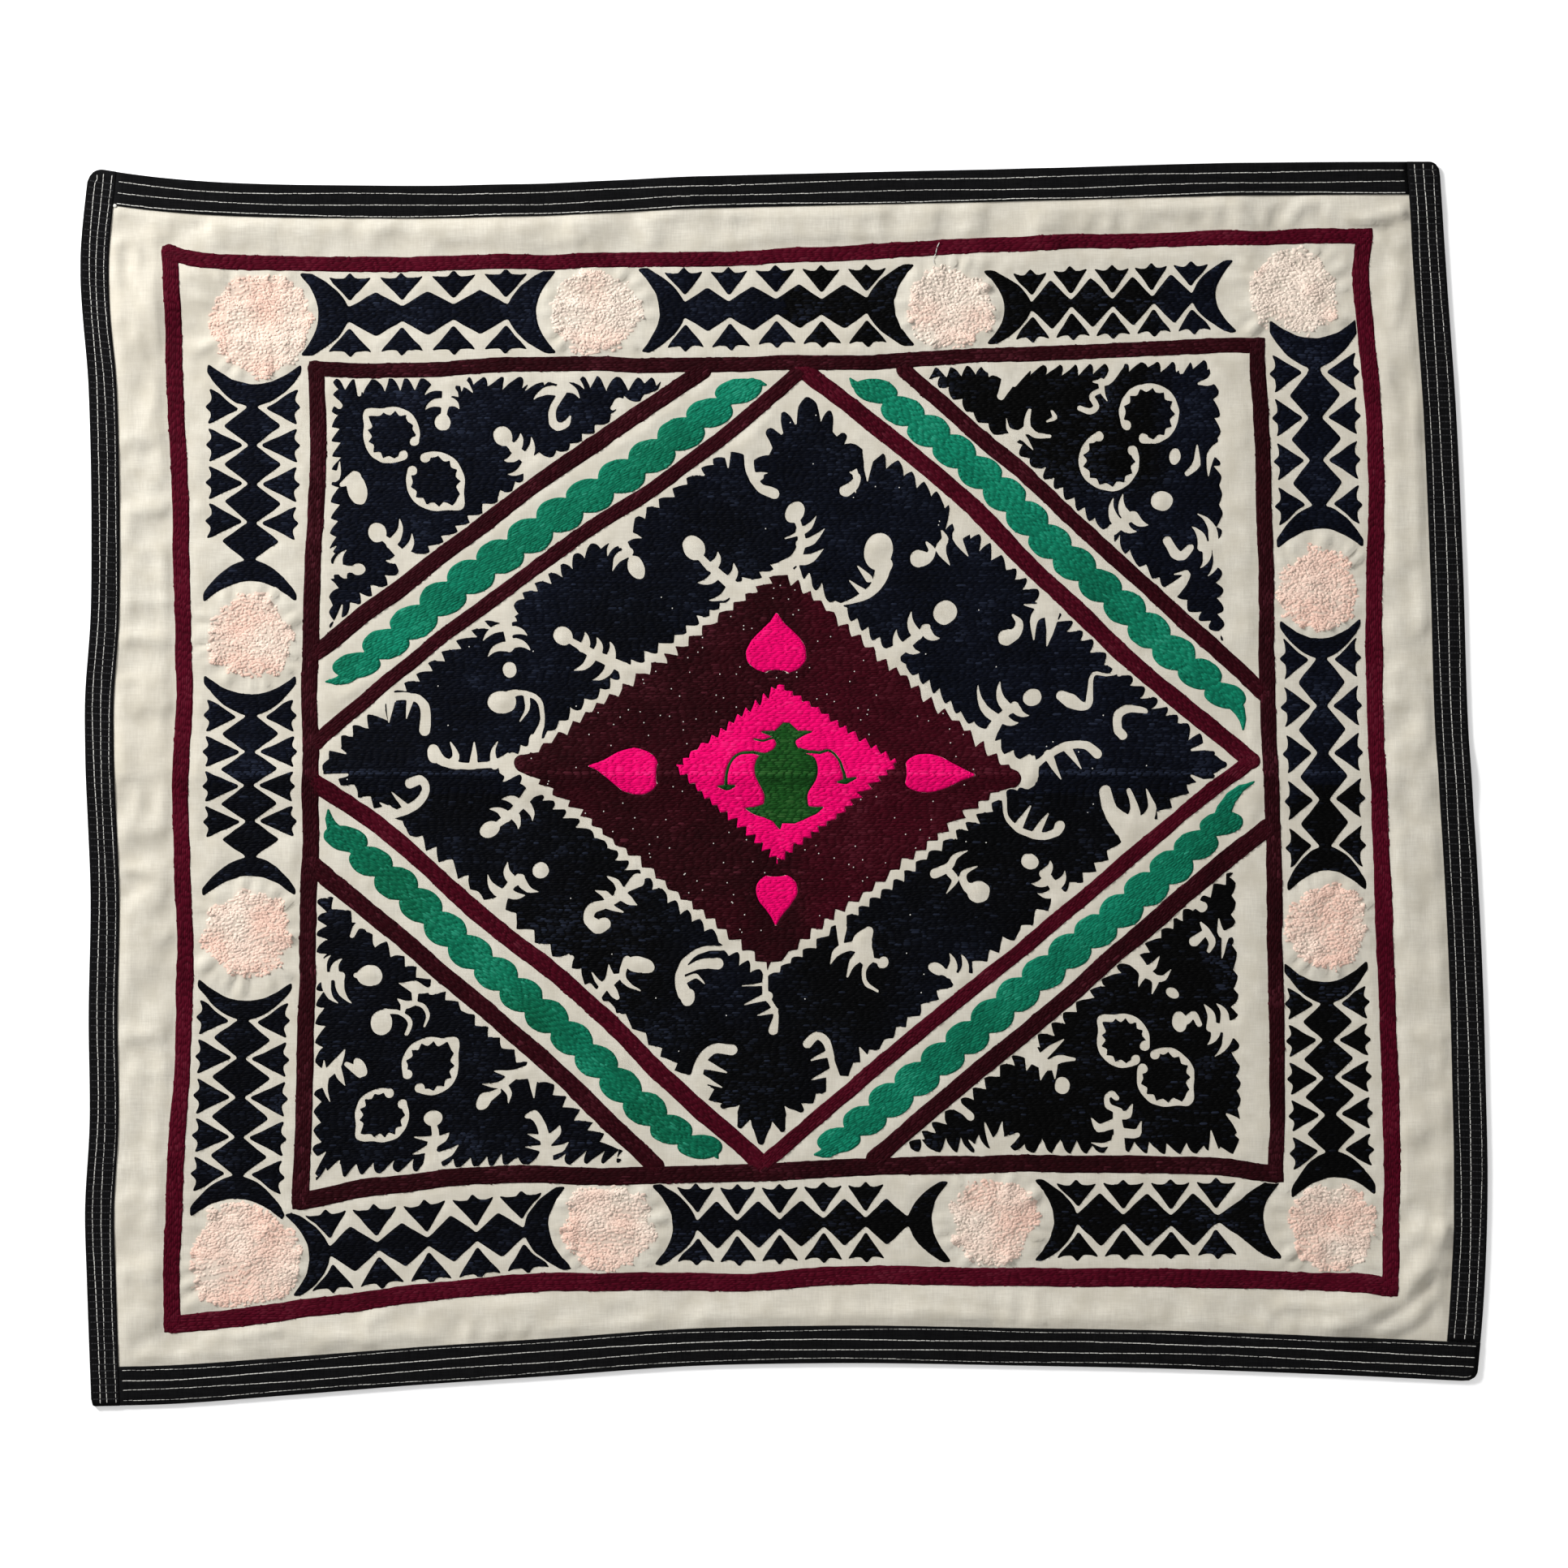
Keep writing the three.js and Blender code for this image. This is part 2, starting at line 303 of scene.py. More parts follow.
# creases on the face: (points, height, reach); a trough has a height below zero
creases = [
    ([(-735, 556), (-655, 505)], 1.6, 12), ([(-720, 540), (-668, 480)], -1.2, 10),
    ([(-640, 600), (-560, 618)], 1.0, 10), ([(262, 632), (300, 606)], 1.5, 9),
    ([(280, 628), (296, 600)], -0.9, 8), ([(490, 628), (512, 606)], 1.2, 9),
    ([(552, 612), (564, 630), (584, 644)], 4.0, 13), ([(598, 624), (635, 616), (684, 628)], 4.0, 12),
    ([(676, 560), (668, 505)], 1.4, 9), ([(655, 448), (676, 404)], 1.5, 10),
    ([(690, 300), (700, 180)], 0.8, 12), ([(146, -572), (226, -586)], 1.4, 7),
    ([(200, -578), (284, -588)], 1.2, 7), ([(-592, -594), (-500, -604)], 1.4, 8),
    ([(-520, -600), (-436, -610)], 1.0, 8), ([(-694, -372), (-712, -566)], -1.2, 14),
    ([(600, -592), (650, -570), (690, -538), (722, -488)], 5.0, 17),
    ([(545, -568), (602, -568), (640, -558)], 4.0, 12), ([(655, -600), (692, -580), (714, -550)], 4.0, 13),
    ([(-300, 612), (-276, 586)], 1.0, 9), ([(-236, 622), (-226, 592)], 1.0, 9),
    ([(-160, 618), (-138, 592)], 0.9, 9), ([(-60, 622), (-40, 596)], 0.9, 9),
    ([(-700, 250), (-688, 60)], 0.8, 14), ([(-702, -120), (-690, -300)], 0.8, 14),
    ([(-780, 10), (780, 8)], 0.8, 5),
]


def smoothThrough(rows, places):
    # smooth curve through (place, value) rows, never below zero
    knots, values = np.array(rows, float).T
    slopes = np.gradient(values, knots)
    at = np.clip(np.searchsorted(knots, places) - 1, 0, len(knots) - 2)
    span = knots[at + 1] - knots[at]
    share = np.clip((places - knots[at]) / span, 0, 1)
    through = smoothStep(share, values[at], values[at + 1], span * slopes[at], span * slopes[at + 1])
    return np.maximum(0, through)


def roundedCorners(across, along):
    # the square at each corner drawn in to a quarter round
    for (sideAcross, sideAlong), radius in cornerRound.items():
        outX = across * sideAcross - (cloth["width"] / 2 - radius)
        outY = along * sideAlong - (cloth["length"] / 2 - radius)
        within = (outX > 0) & (outY > 0)
        drawn = np.where(within, np.maximum(outX, outY) / np.maximum(np.hypot(outX, outY), 1e-9) - 1, 0)
        across, along = across + sideAcross * outX * drawn, along + sideAlong * outY * drawn
    return across, along


def placeOnCloth(across, along):
    # place on the uneven cloth of a point of the plain rectangle
    across, along = roundedCorners(across, along)
    rightShare, topShare = across / cloth["width"] + 0.5, along / cloth["length"] + 0.5
    x = (across + (1 - rightShare) * smoothThrough(edgeRows["left"], along)
         - rightShare * smoothThrough(edgeRows["right"], along))
    y = (along + (1 - topShare) * smoothThrough(edgeRows["bottom"], across)
         - topShare * smoothThrough(edgeRows["top"], across))
    return x, y


def ridge(x, y, start, end, height, reach):
    away = besideSegment(x, y, start, end)[1] / reach
    return height * np.clip(1 - away * away, 0, 1) ** 2


def foldLift(x, y):
    lift = np.zeros(np.shape(x))
    for fold in folds:
        lift = np.maximum(lift, ridge(x, y, *fold))
    return lift


def rimLift(across, along):
    # the ground stands on the lower layer of the bindings at its rim and slopes down inside them
    inward = np.minimum(
        np.minimum(across + cloth["width"] / 2 - bindingWidth["left"],
                   cloth["width"] / 2 - bindingWidth["right"] - across),
        np.minimum(along + cloth["length"] / 2 - bindingWidth["bottom"],
                   cloth["length"] / 2 - bindingWidth["top"] - along))
    return rimRise * (1 - np.clip(inward / cloth["slope"], 0, 1))


# Rosettes: (centre, radius) of the pale knotted rounds in the border
rosettes = [
    ((-572, 503), 60), ((-206, 515), 52), ((180, 520), 50), ((556, 537), 52), ((584, 213), 50),
    ((594, -155), 50), ((598, -484), 52), ((229, -479), 52), ((-193, -483), 54), ((-590, -517), 66),
    ((-583, 161), 50), ((-586, -163), 52),
]


pucker = {"reach": 1.6, "rays": 17, "height": 4.2, "at": 1.1, "spread": 0.24, "lumpRim": 1.04,
          "lumpFade": 0.2, "lump": 0.8, "lift": 0.4}


def rosettePuckers():
    # the tight knots draw the cloth in: rays round each rosette, lumps inside it
    puckers, lumps = np.zeros(gridX.shape), np.zeros(gridX.shape)
    for k, (centre, radius) in enumerate(rosettes):
        window = windowRound([centre], radius * pucker["reach"])
        x, y = gridX[window] - centre[0], gridY[window] - centre[1]
        away, angle = np.hypot(x, y) / radius, np.arctan2(y, x)
        twist = 1.6 * np.sin(3 * angle + k) + 0.9 * np.sin(5 * angle + 2.1 * k)
        rays = np.sin(pucker["rays"] * angle + twist + k) * np.sin(3.7 * angle + 1.3 * k)
        ringed = np.exp(-((away - pucker["at"]) / pucker["spread"]) ** 2)
        puckers[window] += pucker["height"] * rays * ringed
        within = np.clip((pucker["lumpRim"] - away) / pucker["lumpFade"], 0, 1)
        lumps[window] += within * (pucker["lump"] * knotLumps[window] + pucker["lift"])
    return puckers, lumps


def crumpled(lump, seed, spreadY=1.0):
    # swell with sharp crests, as creased cotton has them
    return 1 - 2.4 * np.abs(softNoise(lump, seed, spreadY))


wrinkle = {"middle": (-4, 12), "halfWidth": 664, "halfLength": 580, "calm": 0.4, "marginFrom": 0.99,
           "fade": 0.03}


def clothWrinkles():
    # the bare margin between the outer line and the bindings lies in wrinkles, the rest in slight ones
    middleX, middleY = wrinkle["middle"]
    outside = np.maximum(np.abs(gridX - middleX) / wrinkle["halfWidth"],
                         np.abs(gridY - middleY) / wrinkle["halfLength"])
    inMargin = np.clip((outside - wrinkle["marginFrom"]) / wrinkle["fade"], 0, 1)
    share = wrinkle["calm"] + (1 - wrinkle["calm"]) * inMargin
    broad, narrow, slight = crumpled(60, 24, 0.6), crumpled(28, 25, 1.5), softNoise(14, 26)
    return share * (2.6 + 2.9 * broad + 1.9 * narrow + 0.7 * slight)


knotLumps = softNoise(10, 23)
underLift = foldLift(gridX, gridY)  # underside of the cloth, over the surface
print("cloth form ready")


# Meshes, materials and node groups

def meshPiece(name, points, loopStarts, loopPoints, material, attributes=None, mapXY=None):
    # one piece from arrays: points in mm, faces as loop starts into one list of point numbers
    mesh = bpy.data.meshes.new(name)
    mesh.vertices.add(len(points))
    mesh.vertices.foreach_set("co", (np.asarray(points, float) * mm).astype(np.float32).ravel())
    mesh.loops.add(len(loopPoints))
    mesh.loops.foreach_set("vertex_index", np.asarray(loopPoints, np.int32))
    mesh.polygons.add(len(loopStarts))
    mesh.polygons.foreach_set("loop_start", np.asarray(loopStarts, np.int32))
    mesh.update(calc_edges=True)
    mesh.polygons.foreach_set("use_smooth", np.ones(len(loopStarts), bool))
    for key, values in (attributes or {}).items():
        layer = mesh.attributes.new(key, "FLOAT", "POINT")
        layer.data.foreach_set("value", np.asarray(values, np.float32))
    flat = np.asarray(points, float)[:, :2] if mapXY is None else np.asarray(mapXY, float)
    flat = (flat - flat.min(0)) / (flat.max(0) - flat.min(0)).max()
    unwrapped = mesh.uv_layers.new(name="OFBake")
    unwrapped.uv.foreach_set("vector", flat[np.asarray(loopPoints)].astype(np.float32).ravel())
    mesh.materials.append(material)
    piece = bpy.data.objects.new(name, mesh)
    scene.collection.objects.link(piece)
    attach(piece, "root")
    return piece


def newGroup(name, inputs, outputs):
    group = bpy.data.node_groups.new(name, "ShaderNodeTree")
    for label, kind, value in inputs:
        socket = group.interface.new_socket(label, in_out="INPUT", socket_type=kind)
        socket.default_value = value
    for label, kind in outputs:
        group.interface.new_socket(label, in_out="OUTPUT", socket_type=kind)
    return group, group.nodes.new("NodeGroupInput"), group.nodes.new("NodeGroupOutput")


def node(tree, kind, links=None, **settings):
    # a node with its settings, its input sockets set or linked by name or number
    made = tree.nodes.new(kind)
    for key, value in settings.items():
        setattr(made, key, value)
    for socket, value in (links or {}).items():
        if isinstance(value, bpy.types.NodeSocket):
            tree.links.new(value, made.inputs[socket])
        else:
            made.inputs[socket].default_value = value
    return made


def mixColour(tree, share, first, second, blend="MIX"):
    mixed = node(tree, "ShaderNodeMix", {0: share, 6: first, 7: second}, data_type="RGBA", blend_type=blend)
    return mixed.outputs[2]


def mathNode(tree, operation, first, second):
    return node(tree, "ShaderNodeMath", {0: first, 1: second}, operation=operation).outputs[0]


def noiseAt(tree, place, scale, detail):
    return node(tree, "ShaderNodeTexNoise", {"Vector": place, "Scale": scale, "Detail": detail}).outputs[0]


def rangeTo(tree, value, low, high, newLow, newHigh):
    # a value that lies between low and high, moved to the new range
    given = {"Value": value, 1: low, 2: high, 3: newLow, 4: newHigh}
    return node(tree, "ShaderNodeMapRange", given).outputs[0]


def shadeOf(*screen):
    # red, green and blue as they are read on a screen, turned to the shader's linear scale
    shares = [level / 255 for level in screen]
    linear = [share / 12.92 if share < 0.0404 else ((share + 0.055) / 1.055) ** 2.4 for share in shares]
    return (*linear, 1.0)


def makeWeaveGroup():
    # plain weave: threads each way with slubs, as a height and as a lightness
    group, given, result = newGroup("plainWeave", [
        ("Threads per metre", "NodeSocketFloat", 900.0), ("Slub", "NodeSocketFloat", 0.5),
    ], [("Height", "NodeSocketFloat"), ("Lightness", "NodeSocketFloat")])
    place = node(group, "ShaderNodeTexCoord").outputs["Object"]
    waves, slubs = [], []
    for direction, stretch in (("X", (60.0, 900.0, 60.0)), ("Y", (900.0, 60.0, 60.0))):
        wave = node(group, "ShaderNodeTexWave", {
            "Vector": place, "Scale": given.outputs["Threads per metre"], "Distortion": 1.2,
            "Detail": 1.0, "Detail Scale": 0.4,
        }, wave_type="BANDS", bands_direction=direction, wave_profile="SIN")
        waves.append(wave.outputs["Fac"])
        longer = node(group, "ShaderNodeMapping", {"Vector": place, "Scale": stretch}).outputs[0]
        slubs.append(noiseAt(group, longer, 1.0, 3.0))
    slub = mathNode(group, "ADD", *slubs)
    slubShare = mathNode(group, "MULTIPLY", slub, given.outputs["Slub"])
    height = mathNode(group, "ADD", mathNode(group, "ADD", *waves), slubShare)
    group.links.new(height, result.inputs["Height"])
    group.links.new(rangeTo(group, slub, 0.7, 1.3, 0.0, 1.0), result.inputs["Lightness"])
    return group


def makeYarnGroup():
    # dyed yarn: two dyes blended by the piece's own marks, deeper and paler stitches, faded patches, fluff;
    # the marks also darken the pads and the underside of the middle fold as painted shade, and pale the
    # fold's top as a painted highlight
    group, given, result = newGroup("dyedYarn", [
        ("Dye", "NodeSocketColor", (0, 0, 0, 1)), ("Second dye", "NodeSocketColor", (0, 0, 0, 1)),
        ("Worn", "NodeSocketColor", (0.5, 0.5, 0.5, 1)), ("Wear", "NodeSocketFloat", 0.3),
        ("Uneven", "NodeSocketFloat", 0.4),
    ], [("Colour", "NodeSocketColor"), ("Height", "NodeSocketFloat")])
    place = node(group, "ShaderNodeTexCoord").outputs["Object"]
    toneAndShade = node(group, "ShaderNodeAttribute", attribute_name="toneAndShade").outputs["Fac"]
    second = node(group, "ShaderNodeAttribute", attribute_name="dye").outputs["Fac"]
    dyed = mixColour(group, second, given.outputs["Dye"], given.outputs["Second dye"])
    patchy = rangeTo(group, noiseAt(group, place, 16.0, 4.0), 0.3, 0.7, -0.25, 0.25)
    level = mathNode(group, "ADD", toneAndShade, patchy)
    darker = rangeTo(group, level, 0.0, 0.6, 1.0, 0.0)
    darkShare = mathNode(group, "MULTIPLY", darker, given.outputs["Uneven"])
    deep = mixColour(group, darkShare, dyed, (0.0, 0.0, 0.0, 1.0))
    paler = rangeTo(group, level, 0.6, 1.15, 0.0, 1.0)
    paleShare = mathNode(group, "MULTIPLY", paler, given.outputs["Wear"])
    coloured = mixColour(group, paleShare, deep, given.outputs["Worn"])
    group.links.new(coloured, result.inputs["Colour"])
    group.links.new(noiseAt(group, place, 900.0, 2.0), result.inputs["Height"])
    return group


weaveGroup = makeWeaveGroup()
yarnGroup = makeYarnGroup()


def newMaterial(name, roughness, gloss):
    material = bpy.data.materials.new(name)
    material.use_nodes = True
    tree = material.node_tree
    surface = tree.nodes["Principled BSDF"]
    surface.inputs["Roughness"].default_value = roughness
    surface.inputs["Specular IOR Level"].default_value = gloss
    return material, tree, surface


def reliefTo(tree, surface, height, distance, strength):
    bump = node(tree, "ShaderNodeBump", {"Height": height, "Distance": distance, "Strength": strength})
    tree.links.new(bump.outputs["Normal"], surface.inputs["Normal"])


def yarnMaterial(name, dye, secondDye, worn, wear, uneven):
    material, tree, surface = newMaterial(name, 0.65, 0.035)
    dyed = node(tree, "ShaderNodeGroup", node_tree=yarnGroup, links={
        "Dye": shadeOf(*dye), "Second dye": shadeOf(*secondDye), "Worn": shadeOf(*worn),
        "Wear": wear, "Uneven": uneven,
    })
    tree.links.new(dyed.outputs["Colour"], surface.inputs["Base Color"])
    reliefTo(tree, surface, dyed.outputs["Height"], 0.0004, 0.35)
    return material


def wovenMaterial(name, roughness, gloss, threads, slub):
    material, tree, surface = newMaterial(name, roughness, gloss)
    links = {"Threads per metre": threads, "Slub": slub}
    weave = node(tree, "ShaderNodeGroup", links, node_tree=weaveGroup)
    reliefTo(tree, surface, weave.outputs["Height"], 0.0003, 0.5)
    return material, tree, surface, weave.outputs["Lightness"]


def groundCottonMaterial():
    material, tree, surface, lightness = wovenMaterial("ground cotton", 0.9, 0.15, 620.0, 0.9)
    place = node(tree, "ShaderNodeTexCoord").outputs["Object"]
    toned = mixColour(tree, lightness, shadeOf(190, 184, 171), shadeOf(208, 203, 190))
    aged = rangeTo(tree, noiseAt(tree, place, 3.5, 5.0), 0.45, 0.75, 0.0, 0.35)
    toned = mixColour(tree, aged, toned, shadeOf(196, 187, 170))
    blotched = rangeTo(tree, noiseAt(tree, place, 42.0, 3.0), 0.4, 0.7, 0.0, 0.6)
    toned = mixColour(tree, blotched, toned, shadeOf(184, 177, 161))
    blush = node(tree, "ShaderNodeAttribute", attribute_name="blush").outputs["Fac"]
    toned = mixColour(tree, blush, toned, shadeOf(213, 186, 170))
    tree.links.new(toned, surface.inputs["Base Color"])
    return material


def bindingCottonMaterial():
    material, tree, surface, lightness = wovenMaterial("binding cotton", 0.8, 0.05, 760.0, 0.6)
    faded = mixColour(tree, lightness, shadeOf(4, 4, 5), shadeOf(16, 16, 17))
    tree.links.new(faded, surface.inputs["Base Color"])
    return material


groundCotton = groundCottonMaterial()
bindingCotton = bindingCottonMaterial()
darkYarn = yarnMaterial("navy and black yarn", (7, 10, 20), (3, 3, 3), (44, 51, 69), 0.42, 0.6)
redYarn = yarnMaterial("crimson and maroon yarn", (71, 4, 23), (36, 5, 10), (96, 40, 52), 0.3, 0.45)
pinkYarn = yarnMaterial("hot pink yarn", (212, 2, 94), (180, 0, 78), (236, 60, 136), 0.3, 0.22)
greenYarn = yarnMaterial("teal green yarn", (14, 114, 88), (10, 88, 62), (52, 146, 120), 0.4, 0.42)
vaseYarn = yarnMaterial("bottle green yarn", (22, 68, 24), (14, 50, 20), (66, 104, 56), 0.35, 0.55)
paleYarn = yarnMaterial("pale pink yarn", (215, 181, 165), (217, 201, 187), (220, 204, 190), 0.4, 0.2)
whiteYarn = yarnMaterial("white sewing thread", (186, 184, 178), (186, 184, 178), (204, 203, 198), 0.5, 0.2)
greyYarn = yarnMaterial("dark quilting thread", (40, 40, 41), (40, 40, 41), (58, 58, 58), 0.4, 0.2)
print("materials ready")


# Motifs

sprigForm = {
    "points": 25, "stemTo": 24, "freeStemTo": 17, "stem": [6.4, 5.0, 3.2], "mouthIn": 0.8, "mouthHalf": 0.62,
    "mouthEnd": 4.4, "barb": [5.2, 5.4, 4.2, 2.6, 0.7], "barbFrom": 3, "barbRange": 15, "leftShift": 0.3,
    "rightShift": 0.6, "barbOut": 1.08, "barbOn": 0.42, "barbBend": 0.17,
}


def sprig(field, mouth, head, long, wide, left, right, bend, bay, apart):
    # bare stem cut into the stitching, from an open bay to a round head, with hooked barbs on both sides;
    # left and right give the barbs' lengths from the mouth on, apart leaves the head free of the stem
    form = sprigForm
    path = curve(mouth, head, bend, form["points"])
    run = np.gradient(path, axis=0)
    run /= np.linalg.norm(run, axis=1)[:, None]
    stemTo = form["freeStemTo"] if apart or not long else form["stemTo"]
    cut(field, stroke(path[:stemTo], form["stem"]))
    mouthLine = [path[0] - run[0] * bay, path[0] + run[0] * bay * form["mouthIn"]]
    cut(field, stroke(mouthLine, [bay * form["mouthHalf"], form["mouthEnd"]]))
    if long:
        cut(field, blob(head, long, wide, math.degrees(math.atan2(run[-1][1], run[-1][0]))))
    for side, lengths, shift in ((1, left, form["leftShift"]), (-1, right, form["rightShift"])):
        for k, length in enumerate(lengths):
            at = int(form["barbFrom"] + form["barbRange"] * (k + shift) / len(lengths))
            out = side * np.array([-run[at][1], run[at][0]])
            tip = path[at] + out * length * form["barbOut"] + run[at] * length * form["barbOn"]
            cut(field, stroke(curve(path[at], tip, side * form["barbBend"], 8), form["barb"]))


ringForm = {"drawn": 0.3, "drawnReach": 0.28, "innerDrawn": 0.7, "bare": 4.6, "tooth": 4.6, "teethTurn": 6.5,
            "calmReach": 1.3, "endBall": 5.4, "endIn": 5, "endPast": 2}


def curledRing(field, centre, radius, opening, half, point):
    # open ring left bare, toothed inside, drawn out to a point where one is given; angles in degrees
    form = ringForm
    window = windowRound([centre], radius * 1.4)
    x, y = handX[window] - centre[0], handY[window] - centre[1]
    away, angle = np.hypot(x, y), np.arctan2(y, x)
    fromPoint, fromOpening = (np.abs((angle - math.radians(turn) + math.pi) % (2 * math.pi) - math.pi)
                              for turn in (point, opening))
    drawn = form["drawn"] * np.exp(-(fromPoint / form["drawnReach"]) ** 2) if point else 0.0
    outer = radius * (1 + drawn)
    toothed = form["tooth"] * np.abs(np.sin(angle * form["teethTurn"]))
    toothed = toothed * np.clip(fromOpening / form["calmReach"], 0, 1)
    inner = radius * (1 + form["innerDrawn"] * drawn) - form["bare"] - toothed
    band = np.minimum(outer - away, away - inner)
    cut(field, (window, np.minimum(band, (fromOpening - math.radians(half)) * radius)))
    for side in (-1, 1):
        end = math.radians(opening + side * (half + form["endPast"]))
        reach = radius - form["endIn"]
        place = (centre[0] + reach * math.cos(end), centre[1] + reach * math.sin(end))
        cut(field, blob(place, form["endBall"]))


def palmette(field, core, petals):
    # leaf of round-tipped petals spread from a core; a petal is (tip, half width)
    for tip, half in petals:
        add(field, stroke(curve(core, tip, 0, 5), np.array([2.0, 1.8, 1.45, 1.15, 0.4]) * half))


def roundedTop(field, centre, wide, high, reach):
    # the part of a field above a centre, and within a reach of it, is rounded off to half an egg
    x, y = handX - centre[0], handY - centre[1]
    egg = (1 - np.hypot(x / wide, y / high)) * wide
    field[:] = np.where((np.abs(x) < reach + 0.45 * y) & (y > 0), np.minimum(field, egg), field)


chainForm = {
    "sag": 21, "thickest": 32, "tipThin": 0.5, "hornThin": 0.9, "hornPast": 2, "hornSlope": 1.2,
    "chainSlope": 0.75, "chainPast": 2.5, "gap": 7.6, "bareLine": 4.6, "budApart": 2.2, "budOpening": 1.1,
    "budFoot": 1.2, "rimIn": 4, "midTip": 7, "midReach": 3.6, "sideTip": 4, "sideReach": 5, "budPast": 3,
}


def cartouche(field, start, end, half, first, last, waists, budFrom, budTo, waist, bellyShare):
    # chain of lozenges between two crescents, with a tulip bud on each side of every waist
    form = chainForm
    window, along, aside, length = alongAxis(start, end, half + 12)
    wide = np.abs(aside)
    tipShare = wide / half
    belly = half * bellyShare
    pitch = (length - first - last) / (waists - 1)
    ends, fromEnds = [], np.full(along.shape, -farOutside)
    for inward, neck in ((along, first), (length - along, last)):
        thick = np.maximum(min(neck, form["thickest"]) * (1 - form["tipThin"] * tipShare ** 2),
                           neck * (1 - form["hornThin"] * tipShare))
        outer = inward + form["sag"] * tipShare ** 2
        inner = thick - form["sag"] * tipShare ** 2 - inward
        hornTip = (half + form["hornPast"] - wide) * form["hornSlope"]
        ends.append(np.minimum(np.minimum(outer, inner), hornTip))
        fromEnds = np.minimum(fromEnds, -inner - form["bareLine"])
    fromWaist = 1 - np.abs((along - first) / pitch % 1 * 2 - 1)
    chain = np.minimum((waist + (belly - waist) * fromWaist - wide) * form["chainSlope"],
                       np.minimum(along - first, length - last - along) + form["chainPast"])
    add(field, (window, np.maximum(np.maximum(*ends), chain)))
    budLong = half - waist - form["gap"]
    budHalf = pitch / 2 - form["budApart"]
    depth = wide - waist - form["gap"]
    for k in range(budFrom, budTo):
        across = np.abs(along - first - k * pitch)
        opening = np.clip(depth / budLong, 0, 1) ** form["budOpening"] * budHalf + form["budFoot"]
        rim = (budLong - form["rimIn"] + form["midTip"] * np.exp(-(across / form["midReach"]) ** 2)
               + form["sideTip"] * np.exp(-((across - budHalf) / form["sideReach"]) ** 2))
        bud = np.minimum(np.minimum(opening - across, fromEnds), np.minimum(depth, rim - depth))
        add(field, (window, np.where(across < budHalf + form["budPast"], bud, farOutside)))


def rosetteField(field, centre, radius, seed):
    # round with an uneven rim
    window = windowRound([centre], radius * 1.4)
    x, y = handX[window] - centre[0], handY[window] - centre[1]
    angle = np.arctan2(y, x)
    uneven = 0.035 * np.sin(3 * angle + seed) + 0.03 * np.sin(7 * angle + 2 * seed)
    add(field, (window, radius * (0.92 + uneven) - np.hypot(x, y) + 4.5 * knotLumps[window]))


# Sides of the great diamond, going round to the left, and the lines that cut off the corners
diamondSides = {
    "upper left": [(20, 452), (-100, 353), (-225, 270), (-390, 148), (-512, 46)],
    "lower left": [(-512, 2), (-425, -60), (-340, -137), (-215, -237), (-120, -329), (-24, -416)],
    "lower right": [(-24, -416), (190, -237), (390, -73), (450, -20), (511, 26)],
    "upper right": [(511, 26), (415, 104), (300, 208), (190, 318), (88, 400), (20, 452)],
}
cornerCuts = {
    "upper left": [(-512, 143), (-370, 253), (-245, 346), (-90, 452)],
    "upper right": [(131, 454), (245, 354), (360, 249), (525, 100)],
    "lower right": [(527, -48), (435, -123), (315, -228), (195, -328), (98, -410)],
    "lower left": [(-140, -418), (-210, -351), (-325, -248), (-445, -148), (-515, -88)],
}

# Stitched lines: (points, half width, share of the second dye); the two frames have square corners
frameLines = [
    ([(-671, 581), (-620, 572), (-440, 569), (-105, 573), (60, 580), (260, 591), (634, 600)], 8.0, 0.05),
    ([(634, 600), (632, 530), (648, 350), (645, 160), (655, -120), (664, -400), (661, -550)], 9.0, 0.0),
    ([(661, -550), (575, -543), (100, -537), (-40, -544), (-300, -547), (-550, -577), (-668, -590)],
     10.0, 0.1),
    ([(-668, -590), (-668, -490), (-654, -210), (-660, -30), (-656, 160), (-668, 520), (-671, 581)],
     9.0, 0.05),
    ([(-513, 453), (-390, 452), (-285, 458), (50, 460), (160, 466), (518, 480)], 8.0, 0.95),
    ([(518, 480), (524, 300), (535, -90), (539, -320), (537, -425)], 8.5, 1.0),
    ([(537, -425), (440, -417), (180, -416), (-160, -429), (-290, -425), (-420, -437), (-529, -456)],
     9.5, 1.0),
    ([(-529, -456), (-522, -230), (-517, -40), (-518, 130), (-510, 370), (-513, 453)], 9.0, 0.95),
]
slantLines = [
    (diamondSides["upper left"], 8.0, 0.85), (diamondSides["lower left"], 9.5, 0.3),
    (diamondSides["lower right"], 8.0, 0.25), (diamondSides["upper right"], 9.5, 0.3),
    (cornerCuts["upper left"], 9.0, 0.9), (cornerCuts["upper right"], 8.5, 0.85),
    (cornerCuts["lower right"], 9.5, 0.9), (cornerCuts["lower left"], 9.5, 0.9),
]

# Twisted green bands: (line of the lobes, number of lobes, way of the twist, tips at the start and the end)
greenBands = [
    ([(-50, 430), (-132, 368), (-238, 298), (-341, 228), (-443, 148), (-468, 130)],
     14, -1, (-20, 436), (-500, 112)),
    ([(100, 430), (208, 347), (292, 264), (401, 167), (482, 97)], 15, 1, (72, 443), (502, 60)),
    ([(478, -44), (370, -138), (278, -210), (174, -300), (60, -390)], 16, -1, (513, 3), (33, -405)),
    ([(-480, -60), (-421, -113), (-325, -199), (-230, -281), (-139, -365), (-92, -396)],
     15, 1, (-498, -28), (-73, -409)),
]

